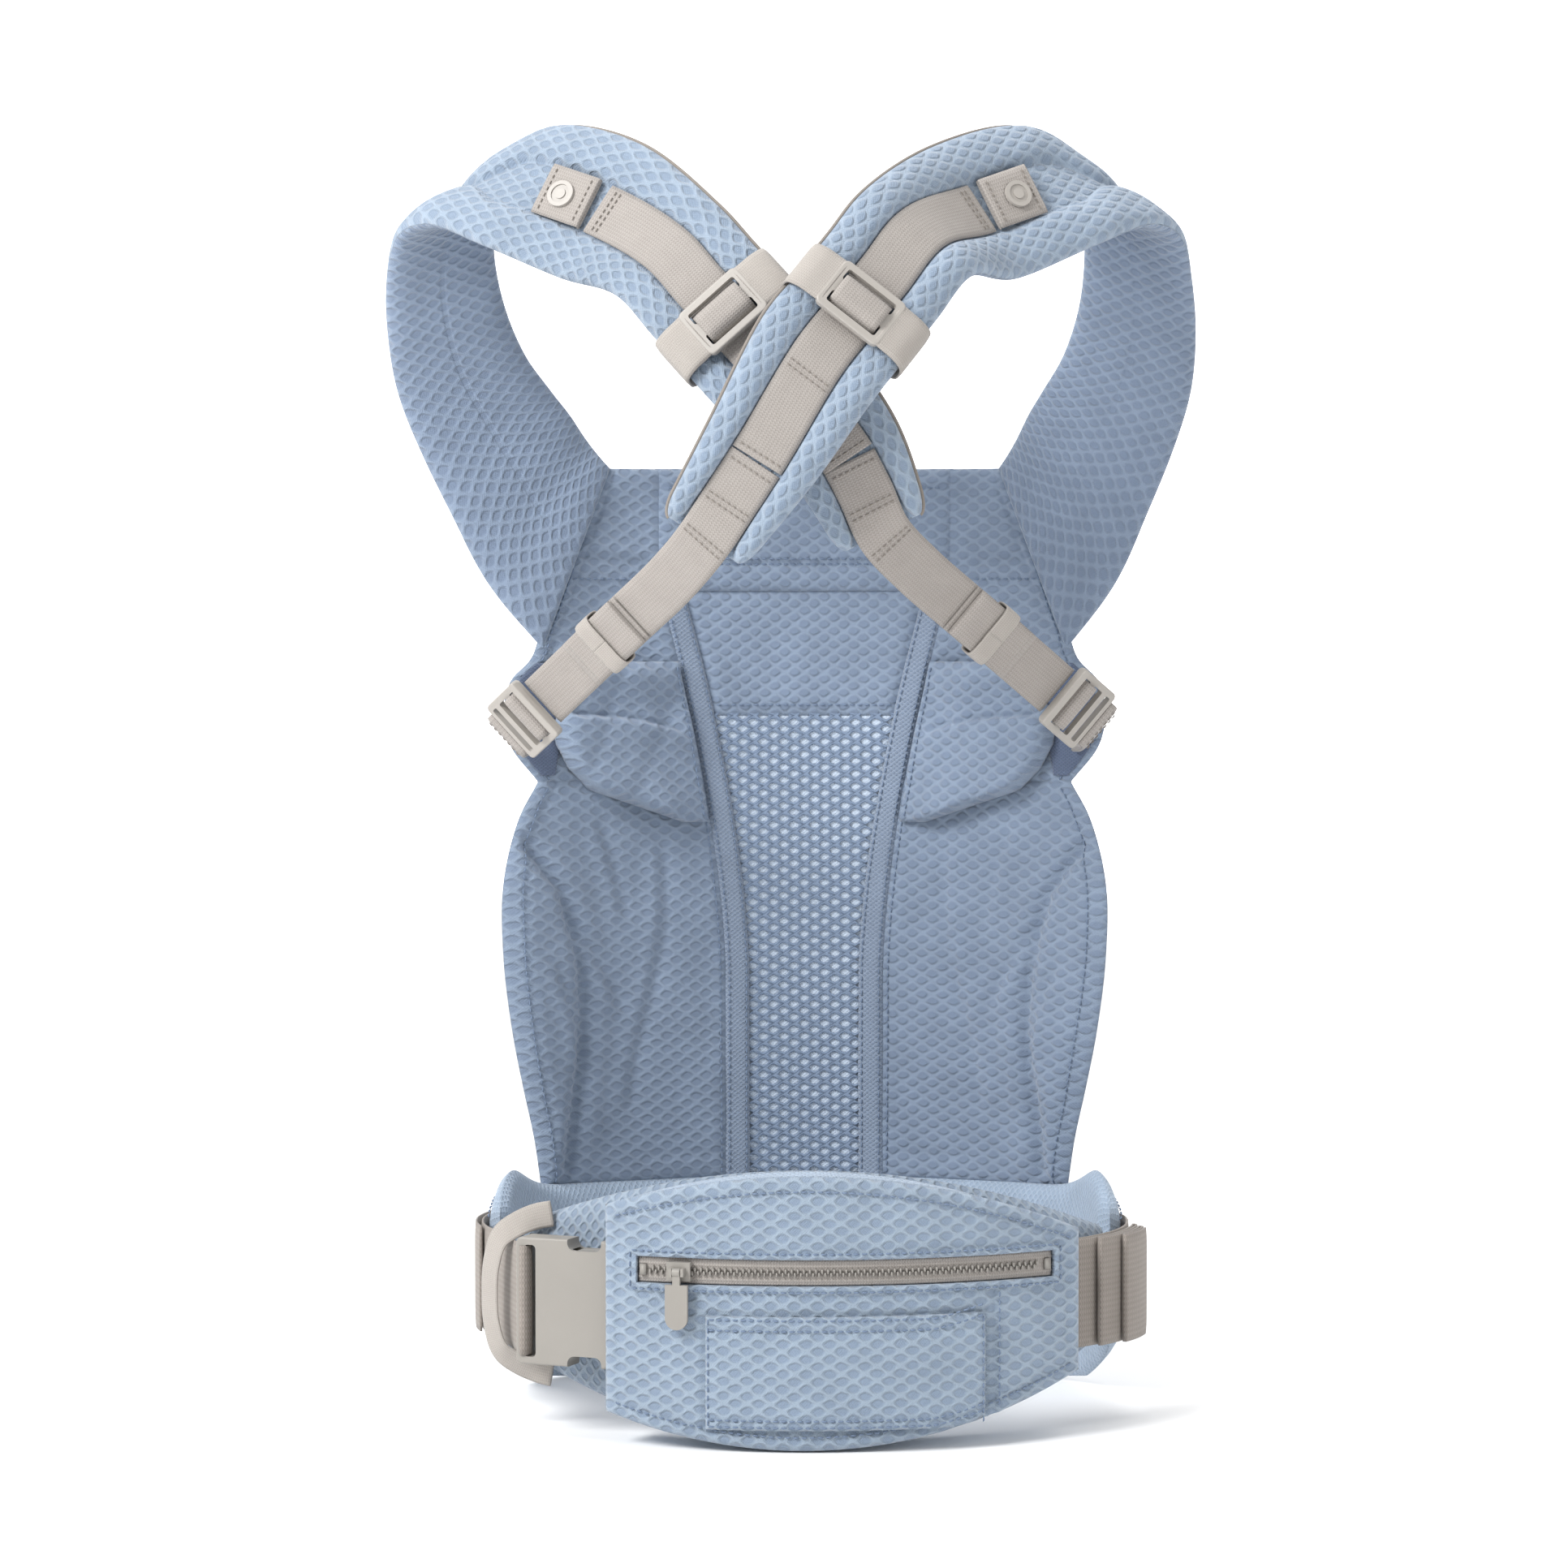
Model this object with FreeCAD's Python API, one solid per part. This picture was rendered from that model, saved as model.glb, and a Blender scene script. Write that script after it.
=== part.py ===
"""Soft baby carrier, standing on its waist belt with its straps crossed as on a wearer's back.

Millimetres, +Z up. -Y is the wearer's back, where the straps cross and the lumbar pad sits; +Y is the baby's
side, where the body panel rises from the waist belt. Left and right are -X and +X. The origin is the middle
of the bounding box, on the floor. The waist is an oval of four tangent arcs; a place on it is given by the
angle that its outward normal makes with -Y and by an offset out from the pads' inner face.
"""

import FreeCAD, Part
import math
import os

V = FreeCAD.Vector
UP = V(0, 0, 1)
FIT = 0.3  # the gap left between fabric layers that lie on each other

# ---- driving dimensions ----
WAIST_HALF_WIDTH = 138.0
WAIST_HALF_DEPTH = 100.0
WAIST_ARC = 170.0  # radius of the near and the far arc of the oval
PAD_THICK = 14.0
WAIST_LINE = 66.0  # height of the middle of the waist webbing
FLOOR = 5.0
BELT_TOP = 100.0
WAIST_WEB = 50.0
STRAP_WEB = 25.4
WEB_THICK = 1.6
SKIN = 1.5  # thickness of the fabric covers over foam
POUCH_GAP = 32.4  # offset of the pouch's back panel, which leaves room for the buckle
POUCH_LEFT, POUCH_RIGHT = -91.0, 125.0
ZIP_LEFT, ZIP_RIGHT, ZIP_LINE = -76.0, 112.0, 85.0
PANEL_BOTTOM = 101.0
MESH_TOP = 329.0
NECK_TOP = 390.0
PANEL_TOP = 451.0
BINDING_WIDTH = 13.0
PANEL_DEPTH = 107.0
STRAP_BELOW, STRAP_ABOVE, CHANNEL_FLOOR = -7.0, 7.0, 2.0
BUCKLE_ANGLE = -23.0  # where on the near arc the buckle's plane touches
BUCKLE_WIDTH = 58.0
PLUG_TRAVEL = 24.0
SLIDER_AT = {"left": 0.6, "right": 0.62}  # share of the strap's straight run
SNAP_DISTANCE = 14.0  # from the snap tab's fold to its stud

SIDE_ARC = (WAIST_ARC**2 - WAIST_HALF_WIDTH**2 - (WAIST_ARC - WAIST_HALF_DEPTH) ** 2) / (
    2 * (WAIST_ARC - WAIST_HALF_WIDTH)
)
SIDE_CENTRE = WAIST_HALF_WIDTH - SIDE_ARC
NEAR_CENTRE = V(0, WAIST_ARC - WAIST_HALF_DEPTH, 0)
TANGENCY = math.degrees(math.atan2(SIDE_CENTRE, NEAR_CENTRE.y))


# ---- geometry helpers ----
def outward(angle):
    """Unit normal of the oval, turned by angle degrees from -Y towards +X."""
    return V(math.sin(math.radians(angle)), -math.cos(math.radians(angle)), 0)


def oval(angle, offset, z=0.0):
    """The oval's point with that outward normal, moved out by offset."""
    turned = (angle + 180.0) % 360.0 - 180.0
    if abs(turned) <= TANGENCY:
        centre, radius = NEAR_CENTRE, WAIST_ARC
    elif abs(turned) >= 180.0 - TANGENCY:
        centre, radius = NEAR_CENTRE * -1, WAIST_ARC
    else:
        centre, radius = V(math.copysign(SIDE_CENTRE, turned), 0, 0), SIDE_ARC
    return centre + outward(angle) * (radius + offset) + UP * z


def oval_band(start, end, inner, outer, low, high):
    """Solid wall along the oval from one angle to another, between two offsets and two heights."""
    joins = [TANGENCY + k for k in (-360.0, 0.0)] + [180.0 - TANGENCY, 180.0 + TANGENCY]
    joins += [-TANGENCY, TANGENCY - 180.0, 360.0 - TANGENCY]
    stops = [start] + sorted(a for a in joins if start + 0.01 < a < end - 0.01) + [end]
    edges = []
    for a, b in zip(stops, stops[1:]):
        for offset in (inner, outer):
            ends = [oval(x, offset, low) for x in (a, (a + b) / 2, b)]
            edges.append(Part.Arc(*ends).toShape())
    ends = [[e.Vertexes[0].Point for e in edges[:2]], [e.Vertexes[-1].Point for e in edges[-2:]]]
    edges += [Part.makeLine(*pair) for pair in ends]
    wire = Part.Wire(Part.__sortEdges__(edges))
    return Part.Face(wire).extrude(UP * (high - low))


def prism(points_and_arcs, direction):
    """Prism along a direction from an outline: each entry is a corner, or an arc's (start, middle)."""
    edges = []
    for entry, after in zip(points_and_arcs, points_and_arcs[1:] + points_and_arcs[:1]):
        start = entry[0] if isinstance(entry, tuple) else entry
        end = after[0] if isinstance(after, tuple) else after
        if isinstance(entry, tuple):
            edges.append(Part.Arc(start, entry[1], end).toShape())
        else:
            edges.append(Part.makeLine(start, end))
    return Part.Face(Part.Wire(edges)).extrude(direction)


def loft(outlines):
    """Closed solid through flat outlines that have the same number of corners."""
    wires = [Part.makePolygon(list(points) + [points[0]]) for points in outlines]
    return Part.makeLoft(wires, True, True)


class Place:
    """A place on a strap: its middle, and unit vectors across it, out of it and along it."""

    def __init__(self, middle, across, out, half_width=STRAP_WEB / 2):
        self.middle = V(middle)
        self.across = V(across).normalize()
        self.out = (V(out) - self.across * V(out).dot(self.across)).normalize()
        self.along = self.across.cross(self.out)
        self.half_width = half_width

    def at(self, u, v, w=0.0):
        return self.middle + self.across * u + self.out * v + self.along * w

    def box(self, u, v, w):
        """Box between two values of each of across, out and along."""
        corners = [self.at(u[0], v[0], w[0]), self.at(u[1], v[0], w[0])]
        corners += [self.at(u[1], v[1], w[0]), self.at(u[0], v[1], w[0])]
        return Part.Face(Part.makePolygon(corners + corners[:1])).extrude(self.along * (w[1] - w[0]))

    def plate(self, u, v, w, corner, edge=0.4):
        """Box with the corners of its outline rounded, and the edges of both faces too."""
        shape = self.box(u, v, w)
        upright = [e for e in shape.Edges if abs(e.tangentAt(e.FirstParameter).dot(self.out)) > 0.99]
        shape = shape.makeFillet(corner, upright)
        rims = [e for e in shape.Edges if abs(e.tangentAt(e.FirstParameter).dot(self.out)) < 0.5]
        return shape.makeFillet(edge, rims) if edge else shape

    def tube(self, points, w):
        """Prism along the strap from an outline of (across, out) corners."""
        corners = [self.at(u, v, w[0]) for u, v in points]
        return Part.Face(Part.makePolygon(corners + corners[:1])).extrude(self.along * (w[1] - w[0]))

    def disc(self, radius, v, u=0.0, w=0.0):
        return Part.makeCylinder(radius, v[1] - v[0], self.at(u, v[0], w), self.out)


def blend(a, b, share):
    return a + (b - a) * share


def between(a, b, share):
    """The place that lies between two others."""
    width = blend(a.half_width, b.half_width, share)
    return Place(blend(a.middle, b.middle, share), blend(a.across, b.across, share), blend(a.out, b.out, share), width)


def ribbon(places, low, high, half_width):
    """Webbing between two heights above the places' middles."""
    corners = [(-half_width, low), (half_width, low), (half_width, high), (-half_width, high)]
    return loft([[p.at(u, v) for u, v in corners] for p in places])


# ---- waist: belt, lumbar pad, pouch and zip ----
def lens(inset=0.0):
    """The lumbar pad's outline seen from the wearer's back, as a prism through the whole waist."""
    y, depth = -170.0, V(0, 175, 0)
    left, right = V(-147 + inset, y, 0), V(144 - inset, y, 0)
    middle = (left + right) * 0.5
    low = [left + UP * (45 + inset), middle + UP * (FLOOR + inset), right + UP * (45 + inset)]
    high = [right + UP * (90 - inset), middle + UP * (128 - inset), left + UP * (88 - inset)]
    return prism([(low[0], low[1]), low[2], (high[0], high[1]), high[2]], depth)


def belt_profile(inset=0.0):
    """The waist belt's outline seen from the side: level at the baby's side, tapered to its two tips."""
    x, width = -170.0, V(340, 0, 0)
    top, low = -inset, inset
    points = [(-12 + inset, 38 + low), (6, 27 + low), (36, 9 + low), (62, FLOOR + low), (125, FLOOR + low)]
    points += [(125, BELT_TOP + top), (46, BELT_TOP + top), (28, 112 + top), (0, 100 + top), (-12 + inset, 91 + top)]
    return prism([V(x, y, z) for y, z in points], width)


def waist_belt():
    body = oval_band(84, 276, 0, PAD_THICK, FLOOR, 115).common(belt_profile())
    core = oval_band(88, 272, SKIN, PAD_THICK - SKIN, FLOOR + SKIN, 113).common(belt_profile(SKIN))
    foam = oval_band(88.3, 271.7, SKIN + 0.2, PAD_THICK - SKIN - 0.2, FLOOR, 115).common(belt_profile(SKIN + 0.2))
    return {"waist_belt": body.cut(core), "waist_foam": foam}


def lumbar_pad():
    body = oval_band(-72, 66, 0, PAD_THICK, 0, 130).common(lens())
    core = oval_band(-70, 64, SKIN, PAD_THICK - SKIN, 0, 130).common(lens(SKIN))
    foam = oval_band(-69.7, 63.7, SKIN + 0.2, PAD_THICK - SKIN - 0.2, 0, 130).common(lens(SKIN + 0.2))
    return {"lumbar_pad": body.cut(core), "lumbar_foam": foam}


def near_angle(x):
    """Angle on the near arc of a place that far to the side on the pouch's front."""
    return math.degrees(math.asin(x / (WAIST_ARC + POUCH_GAP + 5.0)))


def near_wall(left, right, inner, outer, low, high):
    """Wall on the near arc between two sideways distances, with its ends square to the arc."""
    return oval_band(near_angle(left), near_angle(right), inner, outer, low, high)


def pouch():
    back = near_wall(POUCH_LEFT, POUCH_RIGHT, POUCH_GAP, POUCH_GAP + 2, 0, 130).common(lens())
    front_in, front_out = POUCH_GAP + 2.4, POUCH_GAP + 5.4
    front = near_wall(POUCH_LEFT, POUCH_RIGHT, front_in, front_out, 0, 130).common(lens())
    front = front.cut(near_wall(ZIP_LEFT, ZIP_RIGHT, front_in - 1, front_out + 1, ZIP_LINE - 6, ZIP_LINE + 6))
    rim = lens().cut(lens(2.0))
    gusset = near_wall(POUCH_LEFT + 1, POUCH_RIGHT - 1, PAD_THICK + FIT, POUCH_GAP - FIT, 0, 130).common(rim)
    patch_out = front_out + 2.3
    patch = near_wall(-45, 80, front_out + FIT, patch_out, 14.5, 66)
    tape = near_wall(ZIP_LEFT + 0.4, ZIP_RIGHT - 0.4, front_in, front_in + 1.2, ZIP_LINE - 5.6, ZIP_LINE + 5.6)
    teeth_in = front_in + 1.5
    teeth = near_wall(ZIP_LEFT + 5, ZIP_RIGHT - 5, teeth_in, teeth_in + 2, ZIP_LINE - 2, ZIP_LINE + 2)
    stops = [
        near_wall(x, x + 3, teeth_in, teeth_in + 2.2, ZIP_LINE - 2.5, ZIP_LINE + 2.5)
        for x in (ZIP_LEFT + 1.4, ZIP_RIGHT - 4.4)
    ]
    return {
        "pouch_back": back,
        "pouch_front": front,
        "pouch_gusset": gusset,
        "patch_pocket": patch,
        "zip_tape": tape,
        "zip_teeth": Part.makeCompound([teeth] + stops),
    }


ZIP_REST = -56.5  # sideways place of the slider when the zip is closed
ZIP_TEETH_TOP = POUCH_GAP + 2.4 + 3.5


def zip_place():
    """Place of the zip slider: across is down, out is away from the wearer, along follows the teeth."""
    angle = near_angle(ZIP_REST)
    return Place(oval(angle, ZIP_TEETH_TOP, ZIP_LINE), UP * -1, outward(angle))


PULL_PIN = 4.2  # height of the pull's pin above the teeth


def zip_slider():
    p = zip_place()
    channel = [(-4.2, -1.6), (-2.5, -1.6), (-2.5, 0.4), (2.5, 0.4), (2.5, -1.6), (4.2, -1.6), (4.2, 2.0), (-4.2, 2.0)]
    body = p.tube(channel, (-5.5, 5.5))
    ears = [p.box((-1.8, 1.8), (1.9, PULL_PIN + 1.2), (w, w + 1.4)) for w in (-3.4, 2.0)]
    pin = Part.makeCylinder(0.8, 6.0, p.at(0, PULL_PIN, -3.0), p.along)
    return body.fuse(ears + [pin]).removeSplitter()


def zip_pull():
    p = zip_place()
    eye = Part.makeCylinder(1.9, 3.4, p.at(0, PULL_PIN, -1.7), p.along)
    hole = Part.makeCylinder(0.86, 5.0, p.at(0, PULL_PIN, -2.5), p.along)
    neck = p.box((1.2, 6.0), (PULL_PIN - 0.9, PULL_PIN + 0.9), (-1.7, 1.7))
    tab = p.box((5.6, 20.5), (PULL_PIN - 0.9, PULL_PIN + 0.9), (-5.2, 5.2))
    tip = p.disc(5.2, (PULL_PIN - 0.9, PULL_PIN + 0.9), 20.5)
    return eye.fuse([neck, tab, tip]).cut(hole).removeSplitter()


# ---- waist buckle and webbing ----
def buckle_place():
    """Place of the buckle: across is up, out is away from the wearer, along points at the plug's tail."""
    return Place(oval(BUCKLE_ANGLE, 23.0, WAIST_LINE), UP, outward(BUCKLE_ANGLE))


SOCKET_END, SOCKET_MOUTH, PLUG_TAIL = -59.0, -12.0, 17.0


def buckle_socket():
    p, half = buckle_place(), BUCKLE_WIDTH / 2
    body = p.plate((-half, half), (-6.3, 6.3), (SOCKET_END, SOCKET_MOUTH), 3.0, 1.0)
    slot = p.plate((-25.6, 25.6), (-9, 9), (SOCKET_END + 4, SOCKET_END + 10), 2.0, 0)
    cavity = p.box((-24.5, 24.5), (-4.2, 4.2), (SOCKET_END + 17, SOCKET_MOUTH + 1))
    windows = [p.plate((s * 24, s * 36), (-9, 9), (-33, -16), 3.5, 0) for s in (-1, 1)]
    return body.cut(slot).cut(cavity).cut(windows[0]).cut(windows[1]).removeSplitter()


def buckle_plug():
    p, half = buckle_place(), BUCKLE_WIDTH / 2
    base = p.plate((-half + 1, half - 1), (-4, 4), (SOCKET_MOUTH + 0.5, PLUG_TAIL), 2.5, 0.8)
    slots = [p.box((-25.6, 25.6), (-9, 9), (w, w + 4.5)) for w in (2.0, 9.0)]
    guide = p.box((-9, 9), (-3.6, 3.6), (SOCKET_MOUTH - PLUG_TRAVEL + 1.5, SOCKET_MOUTH + 0.6))
    roots = [p.box((s * 14.2, s * 24.2), (-5, 5), (SOCKET_MOUTH, -4.5)) for s in (-1, 1)]
    body = base.cut(slots[0]).cut(slots[1]).cut(roots[0]).cut(roots[1])
    return body.fuse(guide).removeSplitter()


def plug_loop():
    """Webbing round the plug's bar, between its two slots, which rides with the plug."""
    p, half = buckle_place(), WAIST_WEB / 2 - 0.6
    outer = p.box((-half, half), (-4 - FIT - WEB_THICK, 4 + FIT + WEB_THICK), (6.5 - FIT - WEB_THICK, 9 + FIT + WEB_THICK))
    return outer.cut(p.box((-half - 1, half + 1), (-4 - FIT, 4 + FIT), (6.5 - FIT, 9 + FIT)))


def buckle_prong(side):
    p = buckle_place()
    arm = [(15.0, -5.2), (22.2, -5.2), (22.2, -14.0), (24.0, -19.0), (24.0, -29.0), (21.0, -34.0)]
    arm += [(18.5, -34.0), (19.0, -20.0), (16.5, -12.0), (15.0, -9.0)]
    corners = [p.at(side * u, -3.4, w) for u, w in arm]
    return Part.Face(Part.makePolygon(corners + corners[:1])).extrude(p.out * 6.8)


def waist_webbing():
    low, high = WAIST_LINE - WAIST_WEB / 2, WAIST_LINE + WAIST_WEB / 2
    over = PAD_THICK + 0.4
    left = oval_band(-118, -66, over, over + WEB_THICK, low, high)
    p = buckle_place()
    start, end = oval(-66, over + WEB_THICK / 2), p.at(0, 0, SOCKET_END - 1.0)
    end.z = 0
    side = (end - start).cross(UP).normalize() * (WEB_THICK / 2)
    corners = [start - side, end - side, end + side, start + side]
    bridge = Part.Face(Part.makePolygon([c + UP * low for c in corners + corners[:1]])).extrude(UP * WAIST_WEB)
    left = left.fuse(bridge).removeSplitter()
    right = oval_band(-22, 118, over, over + WEB_THICK, low, high)
    tail = oval_band(-112, -74, over + 2, over + 3.6, low, high)
    folds = [oval_band(42 + 3 * k, 80 - 4 * k, 18 + 2.2 * k, 19.6 + 2.2 * k, low, high) for k in range(3)]
    return {
        "waist_webbing_left": Part.makeCompound([left, tail]),
        "waist_webbing_right": right,
        "waist_tail_right": Part.makeCompound(folds),
    }


def elastic_loop():
    """Elastic sewn to the lumbar pad's top and bottom edges, which holds the webbing down at the left."""
    route = [(-40, 101, 14.8), (-45, 98.5, 21.5), (-49, 94, 30.0), (-50, 66, 32.0)]
    route += [(a, 2 * WAIST_LINE - z, d) for a, z, d in reversed(route[:-1])]
    outlines = []
    for k, (angle, z, offset) in enumerate(route):
        before, after = route[max(k - 1, 0)], route[min(k + 1, len(route) - 1)]
        along = (oval(after[0], after[2], after[1]) - oval(before[0], before[2], before[1])).normalize()
        across = along.cross(outward(angle)).normalize()
        out = across.cross(along)
        middle = oval(angle, offset, z)
        outlines.append([middle + across * u + out * v for u, v in ((-6, 0), (6, 0), (6, 1.2), (-6, 1.2))])
    return loft(outlines)


# ---- body panel ----
def panel_curve(z):
    """How fast the panel curves towards the wearer with the square of the sideways distance."""
    return 0.0030 - 0.0000040 * max(0.0, z - 250.0)


def panel_point(x, z, offset):
    """Point of the panel, offset out from its middle surface."""
    curve = panel_curve(z)
    out = V(2 * curve * x, 1, 0).normalize()
    return V(x, PANEL_DEPTH - curve * x * x, z) + out * offset


def seam(z):
    """Sideways place of the seam between the centre of the panel and its bindings."""
    return 27.0 + 17.5 * (max(0.0, z - 200.0) / 129.0) ** 1.6


def reading(points, z):
    """Value at height z of a line through (height, value) points."""
    for (z0, v0), (z1, v1) in zip(points, points[1:]):
        if z <= z1:
            return blend(v0, v1, (z - z0) / (z1 - z0))
    return points[-1][1]


SIDE_EDGE = [(101, 129), (123, 132), (148, 137), (176, 142), (212, 146), (248, 146), (279, 139), (297, 130)]
WING_EDGE = [(297, 130), (315, 143), (331, 146), (346, 143), (360, 131), (451, 97)]


def panel_piece(heights, left, right, inner, outer):
    """Piece of the panel between two sideways places, given as functions of height, and two offsets."""
    wires = []
    for z in heights:
        shares = [k / 4 for k in range(5)]
        xs = [blend(left(z), right(z), s) for s in shares]
        sides = []
        for offset in (inner, outer):
            curve = Part.BSplineCurve()
            curve.interpolate([panel_point(x, z, offset) for x in xs])
            sides.append(curve.toShape())
        ends = [Part.makeLine(panel_point(x, z, inner), panel_point(x, z, outer)) for x in (xs[0], xs[-1])]
        wires.append(Part.Wire(Part.__sortEdges__([sides[0], ends[1], sides[1], ends[0]])))
    return Part.makeLoft(wires, True, True)


def steps(low, high, count):
    return [blend(low, high, k / count) for k in range(count + 1)]


def mirrored(shape):
    return shape.mirror(V(0, 0, 0), V(1, 0, 0))


def body_panel():
    gap = FIT / 2
    parts = {
        "centre_mesh": panel_piece(
            steps(PANEL_BOTTOM, MESH_TOP, 9), lambda z: gap - seam(z), lambda z: seam(z) - gap, -1.5, 1.5
        ),
        "neck_panel": panel_piece(
            steps(MESH_TOP + FIT, NECK_TOP - FIT, 3), lambda z: gap - seam(z), lambda z: seam(z) - gap, -3, 3
        ),
        "head_support": panel_piece(
            steps(NECK_TOP, PANEL_TOP, 3),
            lambda z: gap - seam(z) - BINDING_WIDTH,
            lambda z: seam(z) + BINDING_WIDTH - gap,
            -6,
            5,
        ),
    }
    pieces = {
        "binding": (steps(PANEL_BOTTOM, NECK_TOP - FIT, 11), seam, lambda z: seam(z) + BINDING_WIDTH, -3.5, 3.5),
        "side_panel": (
            [PANEL_BOTTOM] + [z for z, _ in SIDE_EDGE[1:]],
            lambda z: seam(z) + BINDING_WIDTH + FIT,
            lambda z: reading(SIDE_EDGE, z),
            -2.5,
            2.5,
        ),
        "upper_panel": (
            [297 + FIT] + [z for z, _ in WING_EDGE[1:-1]] + [NECK_TOP, 420, PANEL_TOP],
            lambda z: seam(z) + BINDING_WIDTH + FIT,
            lambda z: reading(WING_EDGE, z) + (3.0 if z > 440 else 0.0),
            -2.5,
            2.5,
        ),
        "side_flap": (
            [282, 296, 312, 328, 344, 356],
            lambda z: seam(z) + BINDING_WIDTH + 1,
            lambda z: reading([(282, 92), (296, 112), (312, 124), (328, 122), (344, 114), (356, 104)], z),
            -16,
            -4,
        ),
    }
    for name, (heights, left, right, inner, outer) in pieces.items():
        shape = panel_piece(heights, left, right, inner, outer)
        parts[name + "_right"] = shape
        parts[name + "_left"] = mirrored(shape)
    return parts


# ---- shoulder straps ----
# Each entry is the strap's lower edge and its upper edge, from the panel over the shoulder to the crossing.
OVER_SHOULDER = [
    (V(-133, 60, 362), V(-101, 81, 451)),
    (V(-155, 63, 393), V(-107, 82, 463)),
    (V(-171, 62, 425), V(-114, 76, 475)),
    (V(-186, 59, 456), V(-124, 69, 488)),
    (V(-197, 52, 485), V(-136, 58, 505)),
    (V(-201, 40, 513), V(-145, 44, 528)),
    (V(-200, 24, 538), V(-149, 31, 553)),
    (V(-193, 4, 557), V(-147, 22, 577)),
    (V(-177, -17, 561), V(-137, 8, 595)),
    (V(-151, -35, 550), V(-114, -14, 606)),
    (V(-113, -50, 533), V(-74, -44, 594)),
]
# The near runs: middle, half width and the sideways lean of the edge that faces down, then the same again.
DOWN_THE_BACK = {
    "left": [(V(-63, -65, 544), 31), (V(-17, -87, 492), 31), (V(17, -94, 451), 27), (V(35, -90, 415), 22)],
    "right": [(V(50, -82, 550), 31), (V(5, -112, 492), 31), (V(-20, -118, 450), 27), (V(-46, -110, 411), 22)],
}
SHOULDER_SHIFT = -15.0  # how far the right strap's loop sits from the left one's mirror image
RUN_START, RUN_END = 11, 12  # the straight run that the rail slider travels on


def strap_places(side):
    """Places along a shoulder strap. The lower edge is at +half_width across."""
    edges = []
    for k, (lower, upper) in enumerate(OVER_SHOULDER):
        if side == "right":
            shift = SHOULDER_SHIFT * min(1.0, k / 6)
            lower, upper = [V(shift - e.x, e.y, e.z) for e in (lower, upper)]
        edges.append((lower, upper))
    run = DOWN_THE_BACK[side]
    for k, (middle, half) in enumerate(run):
        before, after = run[max(k - 1, 0)][0], run[min(k + 1, len(run) - 1)][0]
        if k < 2:
            before, after = run[0][0], run[1][0]
        course = after - before
        down = V(course.z, 0, -course.x).normalize() * (1 if side == "left" else -1)
        edges.append((middle + down * half, middle - down * half))
    middles = [(a + b) * 0.5 for a, b in edges]
    places = []
    for k, (lower, upper) in enumerate(edges):
        course = middles[min(k + 1, len(edges) - 1)] - middles[max(k - 1, 0)]
        if k in (RUN_START, RUN_END):
            course = middles[RUN_END] - middles[RUN_START]
        out = (lower - upper).cross(course) * (1 if side == "left" else -1)
        places.append(Place(middles[k], lower - upper, out, (lower - upper).Length / 2))
    return places


def pad_outline(place, skin=0.0):
    """Section of a shoulder pad: two foam tubes with a channel between them for the rail webbing."""
    w, low, high, floor = place.half_width - skin, STRAP_BELOW + skin, STRAP_ABOVE - skin, CHANNEL_FLOOR - skin
    half = [(w - 6, low), (w, low + 4), (w, high - 4), (w - 5, high), (15.5 + skin, high), (13.6 + skin, floor)]
    return [place.at(u, v) for u, v in half] + [place.at(-u, v) for u, v in reversed(half)]


def shoulder_strap(side):
    places = strap_places(side)
    body = loft([pad_outline(p) for p in places])
    inner = places[1:-1]
    core = loft([pad_outline(p, SKIN) for p in inner])
    foam = loft([pad_outline(p, SKIN + 0.2) for p in [between(*inner[:2], 0.02)] + inner[1:-1] + [between(*inner[-2:], 0.98)]])
    return {f"shoulder_strap_{side}": body.cut(core), f"shoulder_foam_{side}": foam}


def tab_places(side):
    """The snap tab's fold and free end."""
    places = strap_places(side)
    return between(places[9], places[10], 0.86), between(places[9], places[10], 0.22)


def fold_place(side):
    """The snap tab's own straight place: its middle is on the fold, and along points to the free end."""
    fold, end = tab_places(side)
    course = (end.middle - fold.middle).normalize()
    across = (fold.across - course * fold.across.dot(course)).normalize()
    out = course.cross(across)
    turn = 1 if out.dot(fold.out) > 0 else -1
    return Place(fold.middle, across * turn, out * turn)


TAB_LOW, TAB_HIGH = 4.4, 6.8


def snap_pieces(side):
    p = fold_place(side)
    half = STRAP_WEB / 2
    tab = p.box((-half, half), (TAB_LOW, TAB_HIGH), (0.3, 26.0)).cut(p.disc(2.3, (0, 9), 0, SNAP_DISTANCE))
    post = p.disc(1.9, (3.2, 6.0), 0, SNAP_DISTANCE)
    stud = p.disc(6.0, (3.0, 4.0), 0, SNAP_DISTANCE).fuse(post).removeSplitter()
    cap = p.disc(6.5, (TAB_HIGH + 0.05, TAB_HIGH + 1.6), 0, SNAP_DISTANCE)
    groove = p.disc(4.6, (TAB_HIGH + 1.0, TAB_HIGH + 2), 0, SNAP_DISTANCE)
    cap = cap.cut(groove.cut(p.disc(2.6, (TAB_HIGH + 0.5, TAB_HIGH + 3), 0, SNAP_DISTANCE)))
    return {f"snap_tab_{side}": tab, f"snap_stud_{side}": stud, f"snap_cap_{side}": cap}


WEB_LOW = CHANNEL_FLOOR + 0.4


def rail_webbing(side):
    places = strap_places(side)
    fold, _ = tab_places(side)
    route = [fold] + places[10:13] + [between(places[12], places[13], 0.55)]
    return {f"rail_webbing_{side}": ribbon(route, WEB_LOW, WEB_LOW + WEB_THICK, STRAP_WEB / 2)}


def slider_place(side):
    places = strap_places(side)
    return between(places[RUN_START], places[RUN_END], SLIDER_AT[side])


SLIDER_LOW = STRAP_ABOVE + 0.7


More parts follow.
